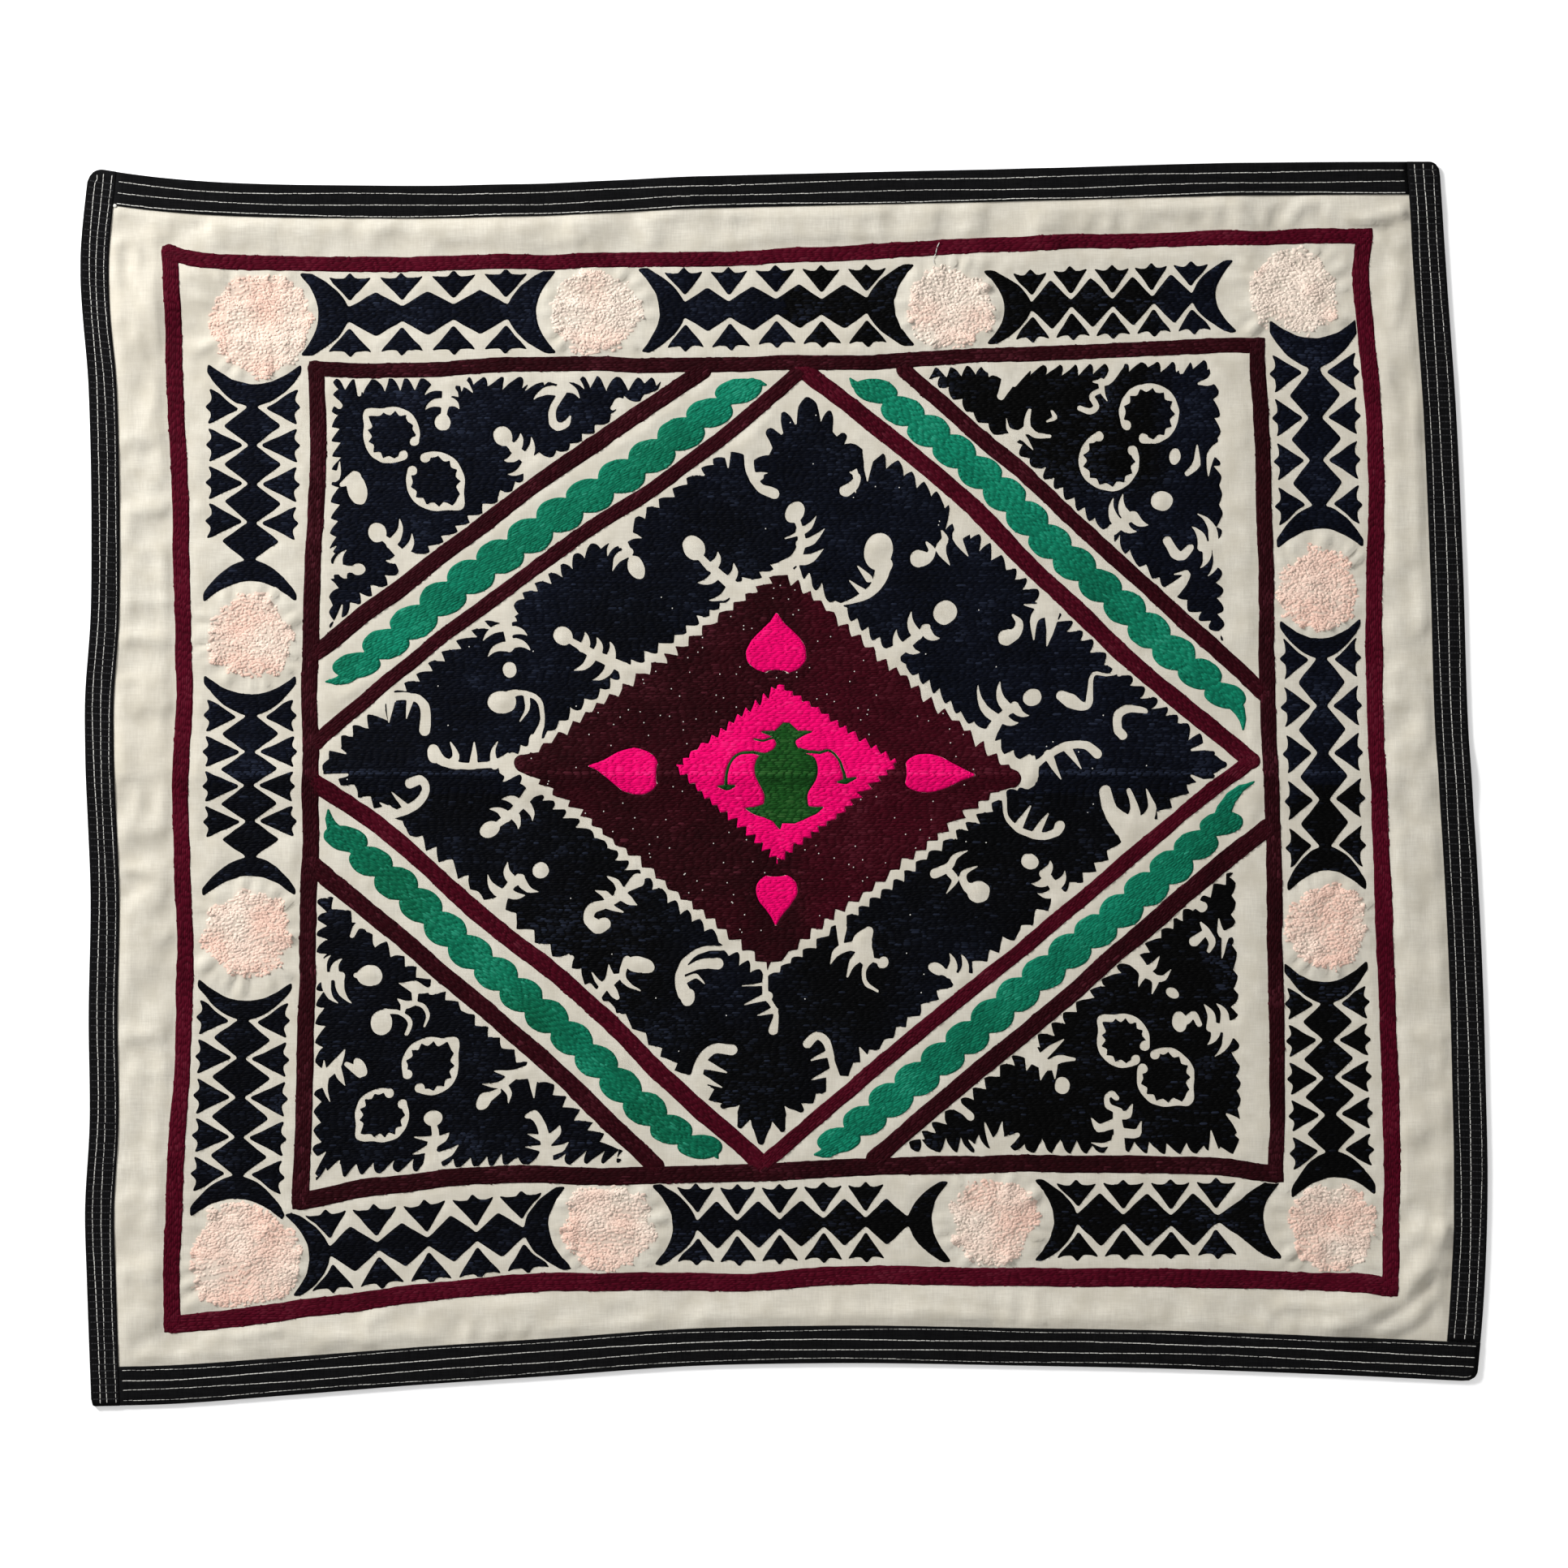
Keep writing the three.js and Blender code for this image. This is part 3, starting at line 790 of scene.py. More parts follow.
# Ring: fishbone sprigs with named columns, then single bare strokes of (x, y, half width) and eggs
sprigColumns = ("mouth", "head", "long", "wide", "left", "right", "bend", "bay", "apart")
ringSprigs = [
    ((-44, 208), (-99, 258), 14, 11.5, (26, 20), (18, 16), 0.05, 14, 0),
    ((-184, 279), (-162, 236), 13, 9, (18,), (20, 22), 0.0, 22, 1),
    ((-174, 126), (-241, 161), 11, 10, (24, 24), (18, 16, 15), 0.02, 11, 0),
    ((-306, 191), (-299, 124), 8.5, 7.5, (10, 18, 20), (26, 22), 0.04, 15, 1),
    ((-278, -10), (-322, -50), 11, 9, (20, 16), (18, 18), 0.05, 12, 0),
    ((-312, -135), (-266, -95), 9, 9, (24, 20), (18, 22), 0.15, 14, 1),
    ((203, -218), (167, -203), 10, 6.5, (18,), (24, 20), 0.0, 6, 0),
    ((303, -126), (269, -84), 10, 9, (18, 16), (18, 14), -0.05, 11, 1),
    ((228, 60), (271, 95), 11, 9.5, (38, 28), (16, 16), 0.1, 13, 1),
    ((117, 139), (176, 187), 14, 12.5, (18, 22), (14, 16), 0.0, 13, 1),
]
ringStrokes = [
    [(-34, 378, 8), (-38, 354, 5.4), (-35, 337, 4.6), (-25, 324, 5), (-11, 318, 6)],
    [(-36, 338, 4), (-18, 340, 0.8)], [(98, 378, 12), (93, 357, 6.4), (91, 331, 0.8)],
    [(-63, 372, 6), (-61, 346, 0.8)], [(67, 321, 6.6), (76, 327, 5.4), (81, 337, 3), (73, 341, 1)],
    [(-4, 236, 7), (11, 246, 6), (18, 263, 4.4), (16, 280, 3.4), (12, 292, 3.4)],
    [(12, 244, 6), (28, 246, 5), (42, 256, 0.6)], [(17, 262, 5.6), (30, 266, 4.6), (43, 279, 0.6)],
    [(16, 276, 4.6), (26, 281, 3.6), (34, 293, 0.6)], [(15, 274, 2.6), (0, 268, 1)],
    [(-272, 44, 6), (-263, 70, 2.6), (-268, 92, 2.8), (-286, 99, 3), (-306, 96, 5)],
    [(-281, 98, 3.5), (-280, 82, 2.8), (-288, 68, 1)],
    [(-452, 84, 6), (-438, 92, 5), (-418, 95, 4.5), (-400, 92, 4.5), (-392, 80, 5.5), (-393, 58, 6.5)],
    [(-430, 90, 5), (-432, 67, 0.8)], [(-408, 92, 4), (-413, 71, 0.8)],
    [(-296, 26, 8), (-318, 21, 3.6), (-350, 19, 3.8), (-372, 24, 5), (-383, 36, 7)],
    [(-362, 22, 5), (-357, 30, 4), (-364, 45, 0.8)], [(-338, 20, 5), (-338, 45, 0.8)],
    [(-316, 20, 5), (-318, 32, 3), (-313, 45, 0.8)],
    [(-440, -36, 3.5), (-418, -31, 4.6), (-399, -20, 5), (-391, -6, 4.6), (-397, 4, 5), (-409, 0, 6)],
    [(-426, -32, 4), (-442, -21, 0.8)], [(-412, -28, 4.4), (-429, -10, 0.8)],
    [(-172, -192, 4.5), (-177, -208, 3.6), (-170, -220, 2.6), (-157, -227, 0.8)],
    [(-60, -178, 3), (-90, -182, 3), (-108, -195, 4), (-113, -212, 5.5), (-108, -228, 8)],
    [(-108, -204, 3.5), (-90, -197, 5), (-72, -196, 6.5)],
    [(-106, -213, 3.5), (-95, -209, 2.6), (-86, -217, 0.8)],
    [(-19, -206, 3), (-19, -230, 3.4), (-9, -250, 2.6), (-13, -270, 5)],
    [(-19, -219, 2), (-45, -220, 0.6)], [(-16, -232, 5), (-42, -241, 0.8)],
    [(-10, -248, 4), (-29, -253, 0.8)], [(-97, -332, 7), (-90, -303, 6), (-76, -289, 5.4), (-57, -291, 6)],
    [(-86, -306, 5.4), (-63, -315, 1)], [(-93, -320, 5), (-68, -331, 0.8)],
    [(60, -334, 6), (53, -302, 3.6), (47, -281, 4.6), (36, -275, 4.6), (25, -285, 5)],
    [(50, -294, 4.4), (30, -302, 1)], [(54, -314, 5), (31, -324, 0.8)], [(62, -158, 6), (62, -178, 2.4)],
    [(92, -160, 5), (85, -173, 11), (90, -190, 8)],
    [(86, -178, 8), (72, -178, 5), (58, -184, 4.4), (51, -197, 0.8)],
    [(82, -188, 6), (74, -197, 3.4), (70, -210, 1.4)],
    [(92, -192, 4), (87, -206, 2.2), (91, -219, 2.4), (102, -226, 1.6)], [(94, -191, 2.4), (108, -194, 3)],
    [(-160, -106, 8), (-172, -115, 3.4), (-182, -124, 5), (-195, -131, 4.6), (-210, -136, 6),
     (-214, -148, 6), (-205, -156, 8), (-197, -153, 7)],
    [(-178, -118, 5), (-183, -108, 3.6), (-193, -101, 0.8)],
    [(-190, -128, 5), (-196, -120, 3.8), (-206, -116, 0.8)],
    [(-180, -120, 6), (-170, -127, 5), (-161, -133, 0.8)],
    [(-192, -133, 4), (-184, -137, 2.6), (-176, -140, 0.8)],
    [(-204, -232, 4), (-198, -222, 5), (-188, -213, 6), (-177, -209, 2.4)],
    [(-200, -226, 4), (-212, -224, 0.8)], [(-198, -220, 3.4), (-204, -214, 2.4), (-210, -205, 0.8)],
    [(-190, -214, 6), (-191, -205, 3.2), (-192, -197, 0.8)],
    [(-192, -218, 5), (-186, -228, 4.4), (-182, -233, 3)], [(-203, -228, 3.6), (-199, -240, 0.8)],
    [(212, -119, 9), (199, -112, 4.5), (196, -99, 4), (211, -91, 1)],
    [(166, -98, 6), (180, -90, 4.6), (186, -80, 3.4), (199, -74, 0.8)],
    [(182, -98, 4.4), (187, -106, 3.6), (178, -121, 0.6)], [(392, -70, 20), (380, -50, 15)],
    [(372, -46, 12), (358, -30, 8), (352, -9, 7)], [(382, -44, 9), (384, -28, 4.8), (378, -8, 2.4)],
    [(394, -44, 9), (402, -28, 4.8), (396, -6, 0.8)],
    [(258, 4, 4), (285, 30, 4), (310, 42, 4.6), (330, 43, 4.6), (342, 33, 5.4)],
    [(274, 20, 4.4), (276, 3, 0.8)], [(288, 32, 6), (303, 6, 0.8)], [(310, 40, 5), (325, 17, 0.8)],
    [(241, -14, 3), (243, -34, 2.6), (256, -48, 3.4), (280, -56, 4), (297, -53, 4.6), (302, -46, 6)],
    [(258, -44, 5), (270, -24, 1.2)], [(277, -52, 5), (289, -32, 1.2)],
    [(394, 80, 3), (375, 82, 5), (364, 75, 5), (364, 60, 4.6), (370, 53, 5)],
    [(304, 97, 6), (314, 91, 8), (326, 85, 5), (334, 89, 4), (335, 105, 3), (338, 121, 2.4),
     (356, 120, 1.6), (368, 130, 6)], [(293, 194, 9), (274, 182, 5.4), (273, 158, 1)],
    [(292, 191, 9), (291, 170, 4.6), (287, 151, 0.8)], [(286, 192, 5), (262, 195, 1)],
    [(243, 160, 9), (254, 165, 5.6), (257, 176, 4), (250, 184, 1.4)],
    [(148, 246, 10), (158, 247, 5.6), (162, 255, 4), (156, 264, 1.4)],
    [(172, 278, 1), (176, 268, 4), (172, 257, 6), (182, 239, 0.8)],
    [(200, 282, 10), (190, 270, 6), (202, 250, 0.8)],
    [(110, 240, 9), (102, 217, 6.6), (86, 204, 4.6), (62, 197, 1.4)], [(93, 224, 4.4), (80, 238, 0.8)],
    [(88, 208, 4.4), (71, 222, 0.8)], [(-504, 46, 7), (-478, 34, 1)], [(-504, 6, 5), (-477, 10, 2)],
    [(472, 45, 6), (446, 37, 1.5)], [(466, -4, 6), (445, 9, 1.5)], [(-244, -204, 8), (-233, -190, 3)],
    [(92, -306, 7), (84, -288, 1)],
]
ringLeaves = [  # petals at its top corner, and a leaf that meets the lower left line
    [(27, 376, 13), (27, 394, 13), (26, 409, 10.5), (25, 418, 4)],
    [(13, 372, 9), (6, 388, 7.4), (2, 398, 5.6), (0, 404, 3)],
    [(42, 372, 9), (46, 388, 7.4), (48, 398, 5.6), (49, 404, 3)],
    [(6, 358, 11), (-6, 374, 8), (-14, 384, 5.4)], [(48, 358, 11), (58, 370, 7.4), (65, 379, 4.4)],
    [(2, 344, 14), (-18, 350, 9.6), (-31, 348, 6.4)], [(2, 326, 9), (-14, 330, 6), (-26, 330, 2)],
    [(48, 348, 12), (70, 364, 8), (82, 362, 6), (87, 352, 1.6)], [(58, 348, 13), (78, 353, 8)],
    [(83, 354, 4), (86, 340, 4), (87, 324, 9)], [(-211, -206, 7), (-175, -244, 7)],
]
ringBays = [  # (place, size) of the other openings in its edges
    ((-50, 400), 26), ((98, 394), 28), ((-272, 44), 8), ((-446, 86), 9), ((-298, 26), 8), ((-435, -34), 8),
    ((-65, -180), 9), ((-95, -330), 12), ((60, -334), 12), ((390, -66), 19), ((258, 4), 6), ((241, -14), 5),
    ((365, 128), 10), ((290, 194), 13), ((186, 282), 20), ((64, 197), 10), ((-240, -202), 9),
]
ringEggs = [  # (centre, half length, half width, turn)
    ((11, 297), 13, 10, 55), ((108, -194), 7, 6, 60), ((-308, 89), 16, 12.5, 0),
    ((-158, -198), 17, 9.5, -14), ((-104, -232), 10, 8, 70), ((213, -119), 12.5, 12, 0),
    ((103, 254), 21, 16, 82), ((-383, 31), 9, 6.5, 110),
]

# where its corners are cut off, and the half egg that rounds its top
ringEnds = {"gap": 13, "left": -504, "right": 462, "bottom": -350}
ringTop = {"centre": (27, 318), "wide": 50, "high": 78, "reach": 51}
ringPalmettes = [  # (core, petals as (tip, half width)) at its lowest and its right corner
    ((-24, -318), [((-26, -391), 9), ((-48, -374), 8), ((-3, -378), 8), ((-66, -352), 8), ((18, -357), 8)]),
    ((426, 22), [((480, 22), 9), ((468, 34), 6), ((468, 9), 6)]),
]

# Corner fields: edges as (line, kind, pitch, depth, gap from the line), bays as (place, size), open rings as
# (centre, radius, opening, half of the opening, point), then sprigs, strokes and eggs as in the ring, and
# the share of black in the yarn
cornerFields = {
    "upper left": {
        "edges": [
            ([(-494, 470), (-497, 150)], leaves, 17, 9, 0),
            (cornerCuts["upper left"], leaves, 19, 9, 11),
            ([(-80, 446), (-520, 443)], leaves, 18, 12, 0),
        ],
        "bays": [((-175, 410), 10)],
        "rings": [((-429, 381), 31, -38, 20, 135), ((-381, 331), 32, 135, 20, -45)],
        "sprigs": [
            ((-368, 449), (-373, 395), 9.5, 9, (26, 12, 14), (22, 20), 0.02, 15, 0),
            ((-270, 349), (-308, 381), 11.5, 10, (24, 15), (20, 15), 0.04, 18, 0),
            ((-242, 452), (-246, 414), 0, 0, (24, 20), (36, 26), 0.0, 12, 0),
            ((-408, 240), (-444, 275), 11, 10, (15,), (22, 24), -0.04, 16, 0),
            ((-508, 235), (-464, 235), 8, 7, (24, 20), (9, 9), 0.0, 8, 0),
        ],
        "strokes": [
            [(-242, 428, 4), (-252, 412, 4), (-253, 398, 4.6), (-247, 391, 4.6), (-238, 394, 4),
             (-234, 402, 1.4)], [(-504, 338, 7), (-490, 336, 4), (-487, 353, 0.8)],
            [(-484, 328, 3), (-470, 336, 7)], [(-466, 447, 4), (-464, 426, 2.4)],
            [(-502, 426, 6), (-486, 414, 3.6)], [(-168, 406, 9), (-180, 418, 5), (-187, 412, 3)],
            [(-482, 195, 1), (-488, 176, 4)], [(-412, 400, 3), (-406, 395, 3)],
        ],
        "eggs": [((-467, 322), 18, 11, 105)],
        "black": 0.0,
    },
    "upper right": {
        "edges": [
            ([(500, 463), (120, 455)], leaves, 17, 11, 0),
            (cornerCuts["upper right"], leaves, 18, 9, 11),
            ([(481, 150), (474, 480)], lobes, 19, 6, 0),
        ],
        "bays": [
            ((240, 455), 15), ((364, 456), 9), ((247, 374), 12), ((478, 364), 8), ((424, 208), 9),
            ((476, 448), 8),
        ],
        "rings": [((400, 405), 33, 232, 22, 0), ((355, 354), 33, 68, 42, 0)],
        "sprigs": [
            ((360, 279), (394, 304), 0, 0, (26, 24), (15, 17), 0.0, 10, 0),
            ((480, 262), (443, 258), 0, 0, (30, 21), (34, 21), 0.0, 6, 0),
        ],
        "strokes": [
            [(366, 458, 7), (354, 440, 4.6), (338, 440, 1.4)],
            [(347, 440, 4), (348, 430, 3.2), (354, 418, 0.8)],
            [(348, 430, 3.2), (336, 424, 3.2), (342, 413, 3.6), (335, 407, 3.6), (323, 411, 3)],
            [(230, 462, 15), (246, 447, 9), (238, 424, 4.4)], [(262, 458, 10), (252, 437, 3)],
            [(244, 372, 6), (258, 381, 5), (271, 365, 0.8)],
            [(255, 382, 4.4), (246, 388, 2.2), (244, 400, 0.6)],
            [(258, 382, 4.4), (267, 387, 4.2), (275, 381, 3.6), (290, 380, 2.4)],
            [(267, 386, 4.4), (267, 398, 3.6), (270, 408, 2.2)],
            [(293, 408, 1.4), (296, 400, 3), (288, 396, 1.2)],
            [(440, 340, 3), (450, 350, 4.8), (451, 371, 0.8)],
            [(480, 370, 8), (466, 360, 4.8), (463, 337, 0.8)],
            [(444, 258, 4.6), (436, 250, 5), (428, 253, 5.4), (419, 267, 4.6)],
            [(420, 206, 9), (436, 221, 5.4), (441, 231, 3), (428, 230, 1.2)],
            [(440, 466, 7), (434, 449, 2.4)], [(480, 452, 10), (466, 440, 4.6), (454, 437, 1.6)],
        ],
        "eggs": [((412, 310), 12, 11, 0), ((427, 358), 9, 6.5, 80)],
        "black": 1.0,
    },
    "lower right": {
        "edges": [
            (cornerCuts["lower right"], leaves, 19, 10, 11),
            ([(120, -402), (520, -405)], leaves, 20, 14, 0),
            ([(501, -420), (491, -60)], leaves, 20, 7, 0),
        ],
        "bays": [
            ((490, -162), 8), ((378, -188), 10), ((264, -288), 8), ((364, -404), 11), ((238, -404), 13),
            ((195, -356), 5), ((450, -130), 8),
        ],
        "rings": [((370, -281), 29, -35, 20, 135), ((416, -320), 32, 138, 20, -45)],
        "sprigs": [((494, -266), (450, -264), 0, 0, (30, 18), (24, 22), 0.0, 9, 0)],
        "strokes": [
            [(494, -160, 6), (479, -163, 4.4), (475, -147, 0.8)], [(483, -164, 4.4), (478, -190, 0.8)],
            [(455, -151, 1.4), (462, -160, 4.2), (468, -172, 4.2), (464, -181, 2.6)],
            [(460, -162, 3.6), (448, -171, 6)], [(446, -128, 4), (456, -134, 6)],
            [(376, -186, 9), (392, -204, 5.6), (388, -222, 0.8)],
            [(395, -204, 5), (402, -200, 4), (409, -188, 0.8)],
            [(397, -208, 5.4), (405, -215, 4.6), (402, -230, 0.8)],
            [(404, -213, 4.4), (414, -213, 3.6), (422, -203, 0.8)],
            [(440, -258, 5), (448, -252, 4), (454, -262, 3)],
            [(266, -284, 9), (275, -300, 8), (290, -308, 5)],
            [(283, -298, 5), (294, -288, 4), (305, -280, 1)],
            [(288, -308, 5), (300, -301, 4.6), (317, -301, 1.8)], [(268, -302, 5), (265, -313, 0.8)],
            [(284, -308, 6), (280, -324, 0.8)], [(295, -306, 4.4), (296, -322, 0.8)],
            [(364, -408, 11), (366, -386, 5.4), (364, -368, 5), (362, -360, 3.6)],
            [(363, -371, 5.4), (345, -376, 5), (336, -365, 0.8)],
            [(367, -382, 5.4), (385, -382, 5), (390, -370, 1.2)],
            [(364, -362, 4.8), (375, -362, 4.8), (380, -350, 0.8)],
            [(366, -358, 3.8), (355, -353, 3.2), (352, -343, 3.2), (357, -338, 3.6), (363, -343, 3)],
            [(360, -392, 2.8), (348, -395, 2.2), (336, -391, 0.6)],
            [(242, -408, 9), (228, -392, 4.4), (220, -369, 0.8)],
            [(229, -392, 4.4), (236, -385, 4.2), (238, -369, 0.8)],
            [(232, -396, 5.4), (245, -390, 6), (254, -384, 3)],
            [(222, -408, 4.4), (212, -398, 3), (203, -388, 0.6)], [(192, -352, 3), (204, -363, 4.8)],
            [(504, -390, 6), (496, -372, 5.4), (484, -362, 1.4)],
            [(471, -410, 8), (469, -396, 4.4), (467, -380, 0.8)],
        ],
        "eggs": [((304, -329), 9.5, 8.5, 90), ((424, -229), 8, 5.5, -30), ((432, -260), 11.5, 8.5, 100)],
        "black": 1.0,
    },
    "lower left": {
        "edges": [
            ([(-508, -80), (-517, -430)], leaves, 19, 9, 0),
            ([(-530, -437), (-432, -425), (-292, -416), (-120, -413)], leaves, 20, 13, 0),
            (cornerCuts["lower left"], teeth, 20, 9, 12),
        ],
        "bays": [
            ((-440, -160), 9), ((-380, -224), 5), ((-518, -324), 8), ((-268, -312), 10),
            ((-384, -414), 11), ((-262, -412), 10),
        ],
        "rings": [((-387, -308), 32, 222, 20, 45), ((-439, -362), 30, 52, 20, 225)],
        "sprigs": [((-514, -211), (-468, -210), 0, 0, (22, 18), (28, 28), 0.0, 6, 0)],
        "strokes": [
            [(-468, -210, 3), (-450, -210, 8)],
            [(-434, -164, 8), (-455, -155, 4.4), (-468, -155, 3.6), (-473, -165, 2.8)],
            [(-374, -220, 5), (-391, -224, 3), (-404, -221, 7), (-421, -217, 0.8)],
            [(-404, -226, 3.6), (-404, -238, 2.4)],
            [(-404, -238, 2.4), (-395, -242, 2.4), (-390, -252, 2.4), (-394, -264, 1.4)],
            [(-404, -238, 3), (-414, -240, 4.4), (-423, -234, 0.8)], [(-416, -240, 4), (-417, -250, 2)],
            [(-436, -248, 3), (-420, -249, 2.4), (-409, -259, 2.8), (-413, -272, 2.2)],
            [(-522, -327, 7), (-502, -318, 5.4), (-488, -305, 5.2), (-480, -291, 0.8)],
            [(-503, -318, 4), (-504, -303, 0.8)],
            [(-503, -321, 4.4), (-502, -335, 2.6), (-497, -347, 0.6)],
            [(-489, -311, 4.8), (-485, -322, 3.2), (-480, -330, 0.6)], [(-464, -316, 5), (-478, -307, 3)],
            [(-262, -308, 8), (-290, -318, 6.4), (-316, -315, 0.8)], [(-275, -320, 6), (-274, -343, 0.8)],
            [(-298, -321, 5.4), (-310, -330, 4.2), (-329, -328, 0.8)],
            [(-308, -329, 4.4), (-300, -338, 3.2), (-301, -349, 0.6)], [(-324, -343, 6), (-312, -337, 3)],
            [(-384, -418, 11), (-385, -398, 5.4), (-380, -385, 4.2), (-382, -372, 3)],
            [(-384, -393, 5.4), (-372, -387, 4.2), (-366, -381, 0.8)],
            [(-382, -388, 3.8), (-403, -386, 0.8)], [(-384, -397, 5.4), (-405, -404, 0.8)],
            [(-382, -409, 7), (-365, -403, 4.2), (-355, -394, 0.6)],
            [(-262, -416, 10), (-260, -398, 6), (-262, -385, 5.2), (-266, -371, 5), (-273, -362, 5.4),
             (-281, -363, 2.4)], [(-260, -391, 6), (-248, -381, 4.4), (-245, -374, 1.2)],
            [(-261, -388, 4.4), (-280, -382, 0.8)],
            [(-259, -401, 5.4), (-245, -398, 4.2), (-236, -391, 0.8)],
            [(-261, -398, 4.4), (-282, -396, 0.8)], [(-518, -420, 7), (-502, -402, 0.8)],
            [(-494, -428, 8), (-486, -413, 1.2)],
        ],
        "eggs": [((-453, -210), 14, 12, 0), ((-440, -261), 14, 11.5, 80), ((-463, -310), 11, 6.5, -62),
                 ((-328, -347), 10, 7.5, 60), ((-383, -365), 10.5, 8.5, 0)],
        "black": 0.55,
    },
}

# Border cartouches, named columns below
cartoucheColumns = ("start", "end", "half", "first", "last", "waists", "budFrom", "budTo", "waist",
                    "bellyShare")
cartouches = [
    ((-508, 513), (-271, 516), 44, 33, 34, 4, 0, 4, 8.0, 0.56),
    ((-137, 518), (121, 524), 43, 28, 30, 5, 0, 5, 8.0, 0.56),
    ((241, 522), (472, 532), 38, 30, 25, 5, 0, 5, 3.0, 0.72),
    ((579, 487), (585, 280), 46, 37, 25, 4, 0, 4, 6.5, 0.6),
    ((587, 158), (593, -94), 42, 21, 25, 5, 0, 5, 5.0, 0.62),
    ((593, -216), (600, -430), 44, 23, 28, 5, 0, 5, 5.0, 0.62),
    ((523, -475), (296, -477), 42, 50, 25, 4, 0, 4, 4.5, 0.7),
    ((160, -478), (-122, -482), 42, 25, 25, 6, 1, 6, 4.0, 0.62),
    ((-256, -487), (-520, -513), 44, 27, 23, 5, 0, 5, 4.0, 0.57),
    ((-598, -453), (-590, -237), 49, 25, 20, 5, 0, 5, 3.4, 0.65),
    ((-584, -100), (-584, 97), 49, 20, 22, 5, 1, 5, 3.4, 0.65),
    ((-583, 221), (-580, 437), 49, 23, 24, 5, 1, 5, 3.4, 0.65),
]

centre = {
    "maroon": [(-1, 238), (-294, 22), (-16, -205), (258, 10)],
    "pink": [(-7, 113), (-122, 17), (-6, -90), (130, 23)],
    "bulbs": [[(-254, 20, 18), (-285, 22, 9.5)], [(222, 8, 18), (250, 6, 9.5)]],
    "zigzagGap": 4.0, "vaseFoot": (3, -43), "vaseRim": (3, 66),
}
# horns of the vase's rim and foot, its tendrils and their feet, each a stroke of (x, y, half width)
vaseStrokes = [
    [(-2, 51, 5), (-12, 55, 3), (-24, 56, 0.6)], [(10, 51, 5), (20, 55, 3), (30, 57, 0.6)],
    [(-12, -29, 9), (-28, -29, 5), (-41, -26, 0.6)], [(20, -30, 7), (32, -29, 4), (42, -25, 0.6)],
    [(-6, -38, 6), (-4, -49, 0.8)],
    [(-22, 31, 1.6), (-35, 34, 1.1), (-49, 32, 1.1), (-58, 24, 1.1), (-62, 12, 1.3), (-63, 0, 1.6)],
    [(18, 37, 1.6), (38, 34, 1.2), (50, 36, 1.1), (60, 27, 1.1), (65, 14, 1.3), (66, 6, 1.6)],
    [(-71, -2, 0.8), (-62, -3, 3), (-53, -1, 0.8)], [(58, 3, 0.8), (67, 4, 3), (78, 7, 0.8)],
    [(-6, 44, 1.4), (-11, 50, 1.0), (-22, 47, 0.9), (-32, 48, 0.7)],
]
# Pink drops: (round end, tip, half width)
drops = [
    ((-8, 121), (-8, 187), 32), ((-137, 12), (-214, 19), 25), ((132, 12), (208, 10), 22),
    ((-8, -100), (-8, -153), 23),
]


# (share of the length, share of the half width), and half length and depth of the notch in the round end
dropForm = [
    (0, 0.4), (0.04, 0.62), (0.12, 0.84), (0.3, 1.0), (0.5, 0.88), (0.7, 0.52), (0.85, 0.22), (1, 0.03),
]
dropNotch = (12, 2.6)
# (share of the height, half width) of the vase
vaseForm = [
    (0, 10), (0.06, 24), (0.12, 31), (0.17, 25), (0.23, 23), (0.33, 24), (0.4, 29), (0.48, 33), (0.6, 33.5),
    (0.67, 29), (0.73, 15), (0.79, 10.5), (0.85, 11), (0.91, 14), (0.95, 10), (1, 4),
]


def closedEdges(corners, kind, pitch, depth, gap):
    return [([corners[k], corners[(k + 1) % 4]], kind, pitch, depth, gap) for k in range(4)]


def drawCentre():
    maroon, pink, vase = blankField(), blankField(), blankField()
    add(maroon, edgedField(closedEdges(centre["maroon"], teeth, 18, 8, 0)))
    for row in centre["bulbs"]:
        add(maroon, penStroke(row))
    add(pink, edgedField(closedEdges(centre["pink"], teeth, 12, 6.5, 0)))
    for end, tip, half in drops:
        shares, widths = zip(*dropForm)
        add(pink, profile(end, tip, shares, np.array(widths) * half))
        across = math.degrees(math.atan2(tip[0] - end[0], end[1] - tip[1]))
        cut(pink, blob(end, *dropNotch, across))
    add(vase, profile(centre["vaseFoot"], centre["vaseRim"], *zip(*vaseForm)))
    for row in vaseStrokes:
        add(vase, penStroke(row, 5))
    return maroon, pink, vase


def cutMotifs(field, sprigs, strokes, eggs):
    for row in sprigs:
        sprig(field, **dict(zip(sprigColumns, row)))
    for row in strokes:
        cut(field, penStroke(row, 4 if len(row) > 2 else 0))
    for row in eggs:
        cut(field, blob(*row))


def sprigBays(rows):
    # the openings of sprigs in an edge: (place, size)
    mouth, bay = sprigColumns.index("mouth"), sprigColumns.index("bay")
    return [(row[mouth], row[bay]) for row in rows]


